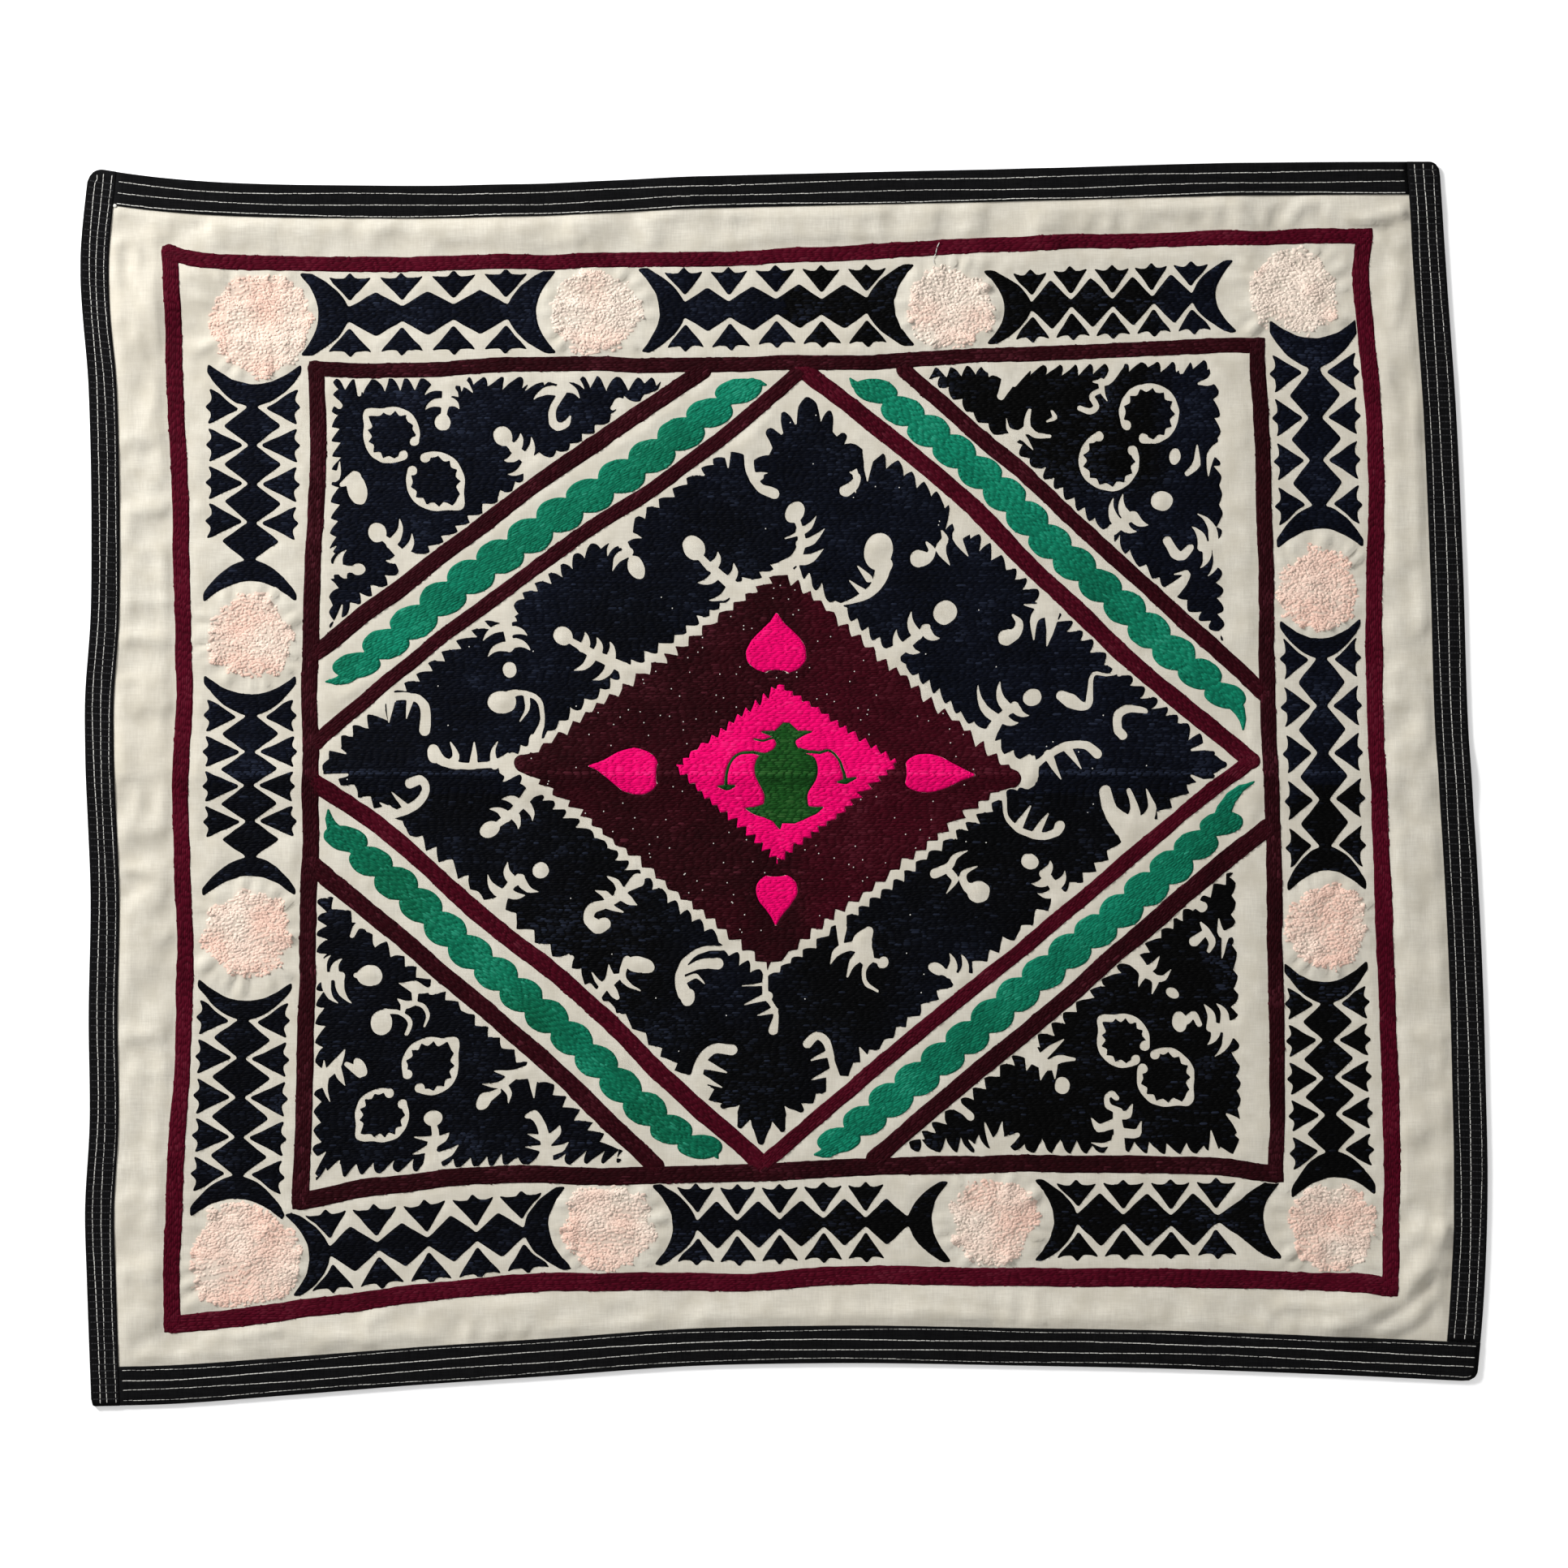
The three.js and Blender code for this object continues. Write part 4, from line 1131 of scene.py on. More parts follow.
def drawRing():
    ring = blankField()
    kinds = {"upper left": (leaves, 18, 10), "lower left": (teeth, 23, 9), "lower right": (teeth, 22, 9),
             "upper right": (leaves, 17, 12)}
    bays = sprigBays(ringSprigs) + ringBays
    edges = [(line, *kinds[side], ringEnds["gap"]) for side, line in diamondSides.items()]
    add(ring, edgedField(edges, bays))
    across = np.minimum(ringEnds["right"] - handX, handX - ringEnds["left"])
    ring[:] = np.minimum(ring, np.minimum(handY - ringEnds["bottom"], across))
    roundedTop(ring, **ringTop)
    for row in ringLeaves:
        add(ring, penStroke(row, 5))
    for core, petals in ringPalmettes:
        palmette(ring, core, petals)
    inner = [([corners[1], corners[0]], leaves, 17, 8, centre["zigzagGap"])
             for corners in [(centre["maroon"][k], centre["maroon"][(k + 1) % 4]) for k in range(4)]]
    window, outside = edgedField(inner, bays, anySide=True)
    ring[window] = np.minimum(ring[window], outside)
    cutMotifs(ring, ringSprigs, ringStrokes, ringEggs)
    return ring


def drawCorners():
    corners = blankField()
    for row in cornerFields.values():
        corner = blankField()
        add(corner, edgedField(row["edges"], sprigBays(row["sprigs"]) + row["bays"]))
        for ring in row["rings"]:
            curledRing(corner, *ring)
        cutMotifs(corner, row["sprigs"], row["strokes"], row["eggs"])
        corners = np.maximum(corners, corner)
    return corners


def drawBorder():
    border, pale = blankField(), blankField()
    for row in cartouches:
        cartouche(border, **dict(zip(cartoucheColumns, row)))
    for k, (place, radius) in enumerate(rosettes):
        rosetteField(pale, place, radius, k)
    return border, pale


def evenPoints(points, count):
    # points at even steps along a line
    points = np.asarray(points, float)
    passed = np.concatenate([[0], np.cumsum(np.linalg.norm(np.diff(points, axis=0), axis=1))])
    at = np.linspace(0, passed[-1], count)
    return np.column_stack([np.interp(at, passed, points[:, 0]), np.interp(at, passed, points[:, 1])])


lobe = {"half": 18.6, "along": 0.66, "slant": 30, "endShare": 0.74, "growth": 0.13, "core": [7, 8, 8, 7],
        "tip": [10, 8, 5, 1], "tipBend": 0.16}


def drawBands():
    green = blankField()
    for line, count, twist, startTip, endTip in greenBands:
        middle = evenPoints(smoothLine(line, 6), count)
        run = np.gradient(middle, axis=0)
        pitch = np.linalg.norm(middle[1] - middle[0])
        for k, place in enumerate(middle):
            taper = min(1.0, lobe["endShare"] + lobe["growth"] * min(k, count - 1 - k))
            turn = math.degrees(math.atan2(run[k][1], run[k][0]))
            turn = turn + lobe["slant"] * twist
            add(green, blob(place, pitch * lobe["along"], lobe["half"] * taper, turn))
        add(green, stroke(middle, lobe["core"]))
        for start, tip in ((middle[0], startTip), (middle[-1], endTip)):
            add(green, stroke(curve(start, tip, lobe["tipBend"], 5), lobe["tip"]))
    return green


def softened(field, reach, limit=9):
    # the same motifs with their sharp corners rounded off, as thick yarn leaves them
    soft = np.clip(field, -limit, limit)
    shifts = range(-reach, reach + 1)
    for axis in (0, 1):
        soft = sum(np.roll(soft, shift, axis) for shift in shifts) / len(shifts)
    return soft


def drawLines():
    lines, dye = blankField(), np.zeros(gridX.shape)
    for points, half, second in frameLines + slantLines:
        window, inside = stroke(smoothLine(points, 5), [half, half])
        dye[window] = np.where(inside > lines[window], second, dye[window])
        lines[window] = np.maximum(lines[window], inside)
    for points, half, second in frameLines:
        window = windowRound(points[:1], half)
        fromCorner = np.maximum(np.abs(handX[window] - points[0][0]), np.abs(handY[window] - points[0][1]))
        lines[window] = np.maximum(lines[window], half - 0.4 - fromCorner)
    return lines, dye


maroonField, pinkField, vaseField = drawCentre()
ringField = drawRing()
cornerField = drawCorners()
borderField, paleField = drawBorder()
borderField = softened(borderField, 2)
greenField = drawBands()
lineField, lineDye = drawLines()
# where one colour meets another, the upper one has its own place
pinkField = np.minimum(pinkField, -vaseField - 0.4)
maroonField = np.minimum(maroonField, np.minimum(-pinkField, -vaseField) - 0.4)
for lower in (ringField, cornerField, greenField, borderField):
    np.minimum(lower, -lineField - 1.2, out=lower)
np.minimum(paleField, -np.maximum(borderField, lineField) - 2.5, out=paleField)
stitchedField = np.maximum.reduce([maroonField, pinkField, vaseField, ringField, cornerField, borderField,
                                   greenField, lineField])
print("motifs drawn")


# Relief of the face: dense stitching keeps the cloth flat, the bare cloth round it is creased

puckers, lumps = rosettePuckers()
loose = np.clip(puckers + clothWrinkles(), -0.5, 5)
for points, height, reach in creases:
    window, inside = stroke(smoothLine(points, 5), [reach, reach])
    fromCrest = 1 - np.clip(inside / reach, 0, 1)
    loose[window] += height * (1 - fromCrest ** 2) ** 2
fineLift = np.maximum(loose * np.clip(-stitchedField / 11, 0.1, 1) + lumps, -0.5) + 0.2 * softNoise(34, 21)
faceLift = underLift + cloth["thick"] + fineLift


# Stitching: a low pad for every motif, and yarn laid over it stitch by stitch

# the pad's low tone makes the yarn group colour it darker: painted shade in the gaps between and round the
# stitches
pad = {
    "rise": 0.75, "edge": 0.28, "bevel": 1.5, "skirtOut": 0.35, "skirtDown": 0.3, "inner": 15.0,
    "innerFrom": 5, "tolerance": 0.13, "bevelTolerance": 2.5, "smallest": 2.0, "longest": 14, "toneAndShade": 0.16,
}
marchPairs = {  # cell case: edges that the outline goes from and to; 0 low, 1 right, 2 high, 3 left
    1: [(0, 3)], 2: [(1, 0)], 3: [(1, 3)], 4: [(2, 1)], 5: [(0, 3), (2, 1)], 6: [(2, 0)], 7: [(2, 3)],
    8: [(3, 2)], 9: [(0, 2)], 10: [(1, 0), (3, 2)], 11: [(1, 2)], 12: [(3, 1)], 13: [(0, 1)], 14: [(3, 0)],
}


def outlineLoops(field):
    # closed outlines of the places above zero
    high, wide = field.shape
    inside = field > 0
    case = (inside[:-1, :-1] * 1 + inside[:-1, 1:] * 2 + inside[1:, 1:] * 4 + inside[1:, :-1] * 8)
    flat = np.arange(high * wide).reshape(high, wide)
    corner, upright = flat[:-1, :-1], high * wide
    edgeIds = [corner, corner + 1 + upright, corner + wide, corner + upright]
    follow = {}
    for key, pairs in marchPairs.items():
        cells = case == key
        for leave, enter in pairs:
            follow.update(zip(edgeIds[leave][cells].tolist(), edgeIds[enter][cells].tolist()))
    values = field.ravel()
    loops = []
    while follow:
        start, at = follow.popitem()
        ids = [start]
        while at != start:
            ids.append(at)
            at = follow.pop(at)
        ids = np.array(ids)
        first = ids % upright
        second = np.where(ids < upright, first + 1, first + wide)
        share = values[first] / (values[first] - values[second])
        x = columnX[first % wide] * (1 - share) + columnX[second % wide] * share
        y = rowY[first // wide] * (1 - share) + rowY[second // wide] * share
        loops.append(np.column_stack([x, y]))
    return loops


def thinned(loop, tolerance):
    # the loop without points that hardly turn it
    for turn in range(6):
        if len(loop) < 8:
            break
        before, after = np.roll(loop, 1, 0), np.roll(loop, -1, 0)
        chord = after - before
        length = np.maximum(np.linalg.norm(chord, axis=1), 1e-6)
        away = np.abs(chord[:, 0] * (loop - before)[:, 1] - chord[:, 1] * (loop - before)[:, 0]) / length
        keep = (away > tolerance) | (np.arange(len(loop)) % 2 == turn % 2) | (length > pad["longest"])
        loop = loop[keep]
    return loop


def loopArea(loop):
    x, y = loop.T
    return abs(np.sum(x * np.roll(y, -1) - y * np.roll(x, -1))) / 2


def padHeight(inside):
    return pad["edge"] + (pad["rise"] - pad["edge"]) * np.sqrt(np.clip(inside / pad["bevel"], 0, 1))


def padPiece(name, field, material, dye=None):
    points, edges = [], []
    for level in (0.0, pad["bevel"]):
        for loop in outlineLoops(field - level):
            if loopArea(loop) < pad["smallest"]:
                continue
            loop = thinned(loop, pad["tolerance"] * (pad["bevelTolerance"] if level else 1))
            if len(loop) > 2:
                base = len(points)
                points.extend(loop.tolist())
                edges.extend((base + k, base + (k + 1) % len(loop)) for k in range(len(loop)))
    every = int(pad["inner"] / canvas["step"])
    deep = np.argwhere(field[::every, ::every] > pad["innerFrom"]) * every
    points.extend([columnX[column], rowY[row]] for row, column in deep.tolist())
    result = delaunay_2d_cdt(points, edges, [], 0, 1e-5)
    flat = np.array([(p[0], p[1]) for p in result[0]])
    faces = np.array(result[2])
    middle = flat[faces].mean(1)
    faces = faces[sampleAt(field, middle[:, 0], middle[:, 1]) > 0.02]
    used, faces = np.unique(faces, return_inverse=True)
    faces, flat = faces.reshape(-1, 3), flat[used]
    z = sampleAt(faceLift, flat[:, 0], flat[:, 1]) + padHeight(sampleAt(field, flat[:, 0], flat[:, 1]))
    # rim edges are those of one face only; the skirt leans out from them into the cloth
    sides = np.vstack([faces[:, [0, 1]], faces[:, [1, 2]], faces[:, [2, 0]]])
    keys = np.sort(sides, axis=1)
    keys = keys[:, 0].astype(np.int64) * len(flat) + keys[:, 1]
    place, count = np.unique(keys, return_index=True, return_counts=True)[1:]
    rim = sides[place[count == 1]]
    run = flat[rim[:, 1]] - flat[rim[:, 0]]
    run /= np.maximum(np.linalg.norm(run, axis=1), 1e-9)[:, None]
    outward = np.zeros(flat.shape)
    for column in (0, 1):
        np.add.at(outward, rim[:, column], np.column_stack([run[:, 1], -run[:, 0]]))
    outward /= np.maximum(np.linalg.norm(outward, axis=1), 1e-9)[:, None]
    rimPoints, rimPlace = np.unique(rim, return_inverse=True)
    rimPlace = rimPlace.reshape(-1, 2) + len(flat)
    foot = flat[rimPoints] + outward[rimPoints] * pad["skirtOut"]
    footZ = sampleAt(faceLift, foot[:, 0], foot[:, 1]) - pad["skirtDown"]
    allPoints = np.vstack([np.column_stack([flat, z]), np.column_stack([foot, footZ])])
    skirt = np.column_stack([rim[:, 1], rim[:, 0], rimPlace[:, 0], rimPlace[:, 1]])
    starts = np.concatenate([np.arange(len(faces)) * 3, len(faces) * 3 + np.arange(len(skirt)) * 4])
    dyeAt = np.zeros(len(allPoints)) if dye is None else sampleAt(dye, allPoints[:, 0], allPoints[:, 1])
    # painted shade: the pads get a low tone, so they are coloured darker than the stitches over them
    marks = {"toneAndShade": np.full(len(allPoints), pad["toneAndShade"]), "dye": dyeAt}
    piece = meshPiece(name, allPoints, starts, np.concatenate([faces.ravel(), skirt.ravel()]), material,
                      marks)
    print("pad", name, len(faces) + 2 * len(skirt), "triangles")
    return piece


# a stitch is a ridge of two crests; shares of its length, and of its rise at its ends and sides
stitchForm = {"shoulder": 0.2, "end": -0.1, "side": 0.05}


def stitchMesh(name, ends, widths, rises, base, tones, dyes, material):
    # rows of raised stitches: ends are (ax, ay, bx, by), base gives the height of what they lie on
    a, b = ends[:, :2], ends[:, 2:]
    run = b - a
    long = np.linalg.norm(run, axis=1)[:, None]
    run = run / np.maximum(long, 1e-6)
    side = np.column_stack([-run[:, 1], run[:, 0]]) * widths[:, None] / 2
    near, far = a + run * long * stitchForm["shoulder"], b - run * long * stitchForm["shoulder"]
    flat = np.stack([a, near + side, near, near - side, far + side, far, far - side, b], axis=1)
    z = base(flat[..., 0], flat[..., 1])
    end, side = stitchForm["end"], stitchForm["side"]
    z = z + rises[:, None] * np.array([end, side, 1, side, side, 1, side, end])
    points = np.concatenate([flat, z[..., None]], axis=2).reshape(-1, 3)
    pattern = np.array([0, 2, 1, 0, 3, 2, 7, 4, 5, 7, 5, 6, 1, 2, 5, 4, 2, 3, 6, 5])
    starts = np.array([0, 3, 6, 9, 12, 16])
    count = len(ends)
    loopPoints = (np.arange(count)[:, None] * 8 + pattern).ravel()
    loopStarts = (np.arange(count)[:, None] * 20 + starts).ravel()
    marks = {"toneAndShade": np.repeat(tones, 8), "dye": np.repeat(dyes, 8)}
    piece = meshPiece(name, points, loopStarts, loopPoints, material, marks)
    print("stitches", name, count)
    return piece


yarn = {"pitch": 2.25, "long": 9.0, "wide": 2.4, "rise": 0.75, "wave": 1.6, "margin": 0.5, "stray": 0.0,
        "padded": True, "sample": 0.75}
noStitch = -10 ** 6  # marks the places outside a field


def laidStitches(field, angle, seed, settings=yarn):
    # ends of the stitches that fill a field in wavy rows at an angle, cut off at its edge
    random = np.random.default_rng(seed)
    rows, columns = np.nonzero(field > 0)
    cosine, sine = math.cos(math.radians(angle)), math.sin(math.radians(angle))
    x, y = columnX[columns], rowY[rows]
    along, aside = x * cosine + y * sine, y * cosine - x * sine
    u = np.arange(along.min() - 2, along.max() + 2, settings["sample"])
    v = np.arange(aside.min(), aside.max() + settings["pitch"], settings["pitch"])
    v = v + random.normal(0, 0.12 * settings["pitch"], len(v))
    uu, vv = np.meshgrid(u, v)
    wave = settings["wave"] * sampleAt(rowWave, uu * cosine - vv * sine, uu * sine + vv * cosine)
    vv = vv + wave
    placeX, placeY = uu * cosine - vv * sine, uu * sine + vv * cosine
    inside = sampleAt(field, placeX, placeY) > settings["margin"]
    stretch = (uu + random.uniform(0, settings["long"], len(v))[:, None]) / settings["long"]
    cell = np.floor(stretch).astype(int)
    jitter = random.uniform(0, 0.55, (len(v), cell.max() - cell.min() + 1))
    cell = cell - (stretch % 1 < np.take_along_axis(jitter, cell - cell.min(), axis=1))
    key = np.where(inside, cell, noStitch)
    change = np.ones(key.shape, bool)
    change[:, 1:] = key[:, 1:] != key[:, :-1]
    begin = np.flatnonzero(change.ravel())
    finish = np.append(begin[1:], key.size) - 1
    kept = (key.ravel()[begin] > noStitch) & (finish - begin >= 2)
    begin, finish = begin[kept], finish[kept]
    flatX, flatY = placeX.ravel(), placeY.ravel()
    ends = np.column_stack([flatX[begin], flatY[begin], flatX[finish], flatY[finish]])
    return ends + random.normal(0, settings["stray"], ends.shape)


rowWave = softNoise(30, 31, 0.6)
toneAndFoldShade = softNoise(60, 32) * 0.5 + softNoise(14, 33) * 0.5
# painted light of the middle fold: a painted highlight along its top, partly wear, and painted shade below
# it
toneAndFoldShade += 3.0 * np.exp(-((gridY - 12) / 2.4) ** 2) - 1.5 * np.exp(-((gridY - 2) / 7) ** 2)


def yarnPiece(name, field, angle, seed, material, dye=None, settings=yarn, ends=None):
    random = np.random.default_rng(seed + 500)
    ends = laidStitches(field, angle, seed, settings) if ends is None else ends
    count = len(ends)
    middle = (ends[:, :2] + ends[:, 2:]) / 2
    # tones carry random tone and the painted highlight and painted shade of the middle fold
    tones = 0.5 + 0.2 * sampleAt(toneAndFoldShade, middle[:, 0], middle[:, 1]) + random.normal(0, 0.16, count)
    flecks = random.random(count) < 0.015
    tones = np.clip(np.where(flecks, tones + 0.5, tones), 0, 1.3)
    dyes = np.zeros(count) if dye is None else sampleAt(dye, middle[:, 0], middle[:, 1])
    widths = settings["wide"] * random.uniform(0.8, 1.1, count)
    rises = settings["rise"] * random.uniform(0.7, 1.25, count)

    def base(x, y):
        onPad = padHeight(sampleAt(field, x, y)) if settings["padded"] else 0.1
        return sampleAt(faceLift, x, y) + onPad

    return stitchMesh(name, ends, widths, rises, base, tones, dyes, material)


diamond = {"halfWidth": 575, "halfLength": 505}  # between the ring and the corner fields


def inCorner(sideX, sideY):
    x, y = gridX * sideX, gridY * sideY
    return (x / diamond["halfWidth"] + y / diamond["halfLength"] > 1) & (x > 0) & (y > 0)


# share of black in the navy yarn, which ran out here and there
blackShare = np.clip(0.15 + 0.5 * softNoise(120, 41) + 0.6 * (gridY < -10) * (np.abs(gridX) < 480), 0, 0.9)
blackShare = np.where((gridX > 240) & (gridX < 475) & (gridY > 480), 0.9, blackShare)
for label, row in cornerFields.items():
    within = inCorner(-1 if "left" in label else 1, -1 if "lower" in label else 1)
    blackShare = np.where(within, row["black"], blackShare)
# in the upper right corner the black fades out again downwards and to the right
fading = np.clip((gridY - 300) / 40, 0, 1) * np.clip((430 - gridX) / 30, 0, 1)
blackShare = np.where(inCorner(1, 1), fading, blackShare)

# the maroon is a little redder in its right half
maroonDye = np.clip(1 - 0.4 * np.clip((gridX - 5) / 35, 0, 1) + 0.15 * softNoise(60, 44), 0, 1)

extras = []
for label, field, material, dye in (
    ("ring", ringField, darkYarn, blackShare), ("corner", cornerField, darkYarn, blackShare),
    ("border", borderField, darkYarn, blackShare), ("centre_maroon", maroonField, redYarn, maroonDye),
    ("centre_pink", pinkField, pinkYarn, None), ("centre_vase", vaseField, vaseYarn, None),
):
    extras.append(padPiece(label + "_pad", field, material, dye))
    extras.append(yarnPiece(label + "_stitches", field, 0, len(extras), material, dye))


def fieldOf(shape):
    field = blankField()
    add(field, shape)
    return field


def lineStitches():
    # yarn laid along every line
    found = []
    for k, (points, half, second) in enumerate(frameLines + slantLines):
        run = np.subtract(points[-1], points[0])
        angle = math.degrees(math.atan2(run[1], run[0]))
        found.append(laidStitches(fieldOf(stroke(smoothLine(points, 5), [half, half])), angle, 700 + k))
    return np.vstack(found)


def bandStitches():
    found = []
    for k, (line, count, twist, startTip, endTip) in enumerate(greenBands):
        run = np.subtract(line[-1], line[0])
        window = windowRound([*line, startTip, endTip], 20)
        field = blankField()
        field[window] = greenField[window]
        found.append(laidStitches(field, math.degrees(math.atan2(run[1], run[0])) + 9 * twist, 800 + k))
    return np.vstack(found)


greenDye = np.clip(0.3 + 0.4 * softNoise(70, 42) + 0.5 * (gridX < 0) * (gridY < 0), 0, 1)
extras.append(padPiece("line_pad", lineField, redYarn, lineDye))
extras.append(yarnPiece("line_stitches", lineField, 0, 71, redYarn, lineDye, ends=lineStitches()))
extras.append(padPiece("green_pad", greenField, greenYarn, greenDye))
extras.append(yarnPiece("green_stitches", greenField, 0, 72, greenYarn, greenDye, ends=bandStitches()))
knots = dict(yarn, pitch=2.2, long=4.6, wide=3.1, rise=0.8, wave=10.0, stray=1.3, padded=False)
# the rosettes of the upper edge are the palest
paleDye = 0.2 + (gridX > -400) * (0.6 * (gridY > 400) + 0.25 * (gridY < -400))
paleDye = np.clip(paleDye + 0.6 * softNoise(30, 43), 0, 1)
extras.append(yarnPiece("rosette_stitches", paleField, 6, 73, paleYarn, paleDye, settings=knots))
print("stitching done")


# Ground sheet: a fine face and a coarser underside, closed round the rim

rawWide = cloth["width"] / 2 - cloth["rawEdgeIn"]  # half sizes at the raw edge
rawLong = cloth["length"] / 2 - cloth["rawEdgeIn"]
blushForm = {"most": 0.8, "dyeShare": 0.5, "fade": 6}


def gridQuads(ids):
    # four-cornered faces between rows of point numbers, facing up
    return np.stack([ids[:-1, :-1], ids[:-1, 1:], ids[1:, 1:], ids[1:, :-1]], -1).reshape(-1, 4)


def groundPiece():
    step, every = cloth["faceStep"], cloth["underEvery"]
    columns = every * round(2 * rawWide / step / every) + 1
    rows = every * round(2 * rawLong / step / every) + 1
    across, along = np.meshgrid(np.linspace(-rawWide, rawWide, columns),
                                np.linspace(-rawLong, rawLong, rows))
    x, y = placeOnCloth(across, along)
    under = foldLift(x, y) + rimLift(across, along)
    fromBinding = cloth["slope"] * (1 - rimLift(across, along) / rimRise)
    face = under + cloth["thick"] + sampleAt(fineLift, x, y) * np.clip((fromBinding - 1) / 9, 0, 1)
    top = np.column_stack([x.ravel(), y.ravel(), face.ravel()])
    low = np.column_stack([v[::every, ::every].ravel() for v in (x, y, under)])
    topIds = np.arange(rows * columns).reshape(rows, columns)
    lowIds = np.arange(len(low)).reshape(topIds[::every, ::every].shape) + len(top)
    faceQuads, lowQuads = gridQuads(topIds), gridQuads(lowIds)[:, [0, 3, 2, 1]]
    rims = [(topIds[0], lowIds[0]), (topIds[:, -1], lowIds[:, -1]),
            (topIds[-1][::-1], lowIds[-1][::-1]), (topIds[:, 0][::-1], lowIds[:, 0][::-1])]
    walls = [np.concatenate([lowRim[k:k + 2], topRim[k * every:(k + 1) * every + 1][::-1]])
             for topRim, lowRim in rims for k in range(len(lowRim) - 1)]
    loopPoints = np.concatenate([faceQuads.ravel(), lowQuads.ravel(), np.concatenate(walls)])
    sizes = np.concatenate([np.full(len(faceQuads) + len(lowQuads), 4), np.full(len(walls), every + 3)])
    starts = np.concatenate([[0], np.cumsum(sizes)[:-1]])
    points = np.vstack([top, low])
    lowMap = low[:, :2] * (1, -1) - (0, cloth["length"] + 20)  # the back is unwrapped beside the face
    # pale fluff of the knots tints the cloth between them
    blush = blushForm["most"] - blushForm["dyeShare"] * sampleAt(paleDye, x, y)
    blush = blush * np.clip(sampleAt(paleField, x, y) / blushForm["fade"], 0, 1)
    blush = np.concatenate([blush.ravel(), np.zeros(len(low))])
    return meshPiece("ground_sheet", points, starts, loopPoints, groundCotton,
                     {"blush": blush}, mapXY=np.vstack([top[:, :2], lowMap]))


ground = groundPiece()
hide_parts("ground_cloth")
print("ground sheet", len(ground.data.polygons), "faces")


# Bindings: strips folded round the raw edge, quilted down by rows of white stitches

upperLayer = rimRise + cloth["thick"] + cloth["layerGap"]
bindings = {
    "left": {"rows": (0.3, 0.56, 0.87), "ticks": True},
    "right": {"rows": (0.2, 0.5, 0.8), "ticks": True},
    "bottom": {"rows": (0.12, 0.38, 0.64, 0.9), "ticks": False},
    "top": {"rows": (0.28, 0.62, 0.93), "ticks": False},
}
strip = {"step": 8.0, "acrossPoints": 15, "puff": 0.55, "fold": 0.9, "stitchLong": 6.2, "stitchPitch": 5.2,
         "stitchWide": 0.95, "stitchRise": 0.4, "sway": 1.3, "stray": 0.12}
quilt = {"pitch": 7.6, "fromEnd": 8, "stray": 0.8, "from": 0.08, "to": 0.95, "cuts": 10, "wide": 1.2,
         "rise": 0.3}


def stripPlace(side, station, inward):
    # point of the plain rectangle at a station along an edge and a distance in from it
    halfWide, halfLong = cloth["width"] / 2, cloth["length"] / 2
    if side == "left":
        return inward - halfWide, station
    if side == "right":
        return halfWide - inward, station
    if side == "bottom":
        return station, inward - halfLong
    return station, halfLong - inward


def stripEnds(side):
    halfWide, halfLong, gap = cloth["width"] / 2, cloth["length"] / 2, cloth["layerGap"]
    if side == "left":
        return -halfLong, halfLong
    if side == "right":
        return -halfLong + bindingWidth["bottom"] + gap, halfLong
    if side == "bottom":
        return -halfWide + bindingWidth["left"] + gap, halfWide
    return -halfWide + bindingWidth["left"] + gap, halfWide - bindingWidth["right"] - gap


def puffAt(side, station, inward):
    # the strip rises a little between its rows of stitches
    width = bindingWidth[side]
    share = inward / width
    lines = np.array([0.0, *bindings[side]["rows"], 1.0])
    at = np.clip(np.searchsorted(lines, share, side="right") - 1, 0, len(lines) - 2)
    between = np.clip((share - lines[at]) / (lines[at + 1] - lines[at]), 0, 1)
    wrinkle = 0.75 + 0.25 * np.sin(station / 5.3 + 9 * share) * np.sin(station / 17.0 + 4 * share)
    return strip["puff"] * np.sqrt(np.clip(4 * between * (1 - between), 0, 1)) * wrinkle


def bindingPiece(side):
    width, thick, fold = bindingWidth[side], cloth["bindingThick"], strip["fold"]
    start, end = stripEnds(side)
    stations = np.linspace(start, end, int((end - start) / strip["step"]) + 1)
    top = upperLayer + thick
    acrossTop = np.linspace(width - 0.5, fold, strip["acrossPoints"])
    arc = np.radians(np.linspace(90, 180, 4)[1:])
    section = [(fold, 0, 0), (width, 0, 0), (width, thick, 0), (thick, thick, 0), (thick, upperLayer, 0),
               (width, upperLayer, 0), (width, top - 0.4, 0)]
    section += [(inward, top, 1) for inward in acrossTop]
    section += [(fold + fold * math.cos(a), top - fold + fold * math.sin(a), 0) for a in arc]
    section += [(fold + fold * math.cos(a), fold - fold * math.sin(a), 0) for a in arc[::-1]]
    inward, height, puffed = np.array(section).T
    stationGrid, inwardGrid = np.meshgrid(stations, inward, indexing="ij")
    across, along = stripPlace(side, stationGrid, inwardGrid)
    x, y = placeOnCloth(across, along)
    z = foldLift(x, y) + height + puffed * puffAt(side, stationGrid, inwardGrid)
    points = np.column_stack([x.ravel(), y.ravel(), z.ravel()])
    count = len(inward)
    ids = np.arange(len(points)).reshape(len(stations), count)
    turned = np.roll(ids, -1, axis=1)
    quads = np.stack([turned[:-1], ids[:-1], ids[1:], turned[1:]], -1).reshape(-1, 4)
    caps = [ids[0], ids[-1][::-1]]
    if side in ("right", "bottom"):
        quads = quads[:, ::-1]
        caps = [cap[::-1] for cap in caps]
    loopPoints = np.concatenate([quads.ravel(), *caps])
    starts = np.concatenate([np.arange(len(quads)) * 4, len(quads) * 4 + np.array([0, count])])
    girth = np.concatenate([[0], np.cumsum(np.hypot(np.diff(inward), np.diff(height)))])
    unrolled = np.column_stack([stationGrid.ravel(), np.tile(girth, len(stations))])
    piece = meshPiece("binding_strip_" + side, points, starts, loopPoints, bindingCotton,
                      mapXY=unrolled)
    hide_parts("binding_" + side)
    return piece


def stripTop(x, y):
    return foldLift(x, y) + upperLayer + cloth["bindingThick"] + 0.1


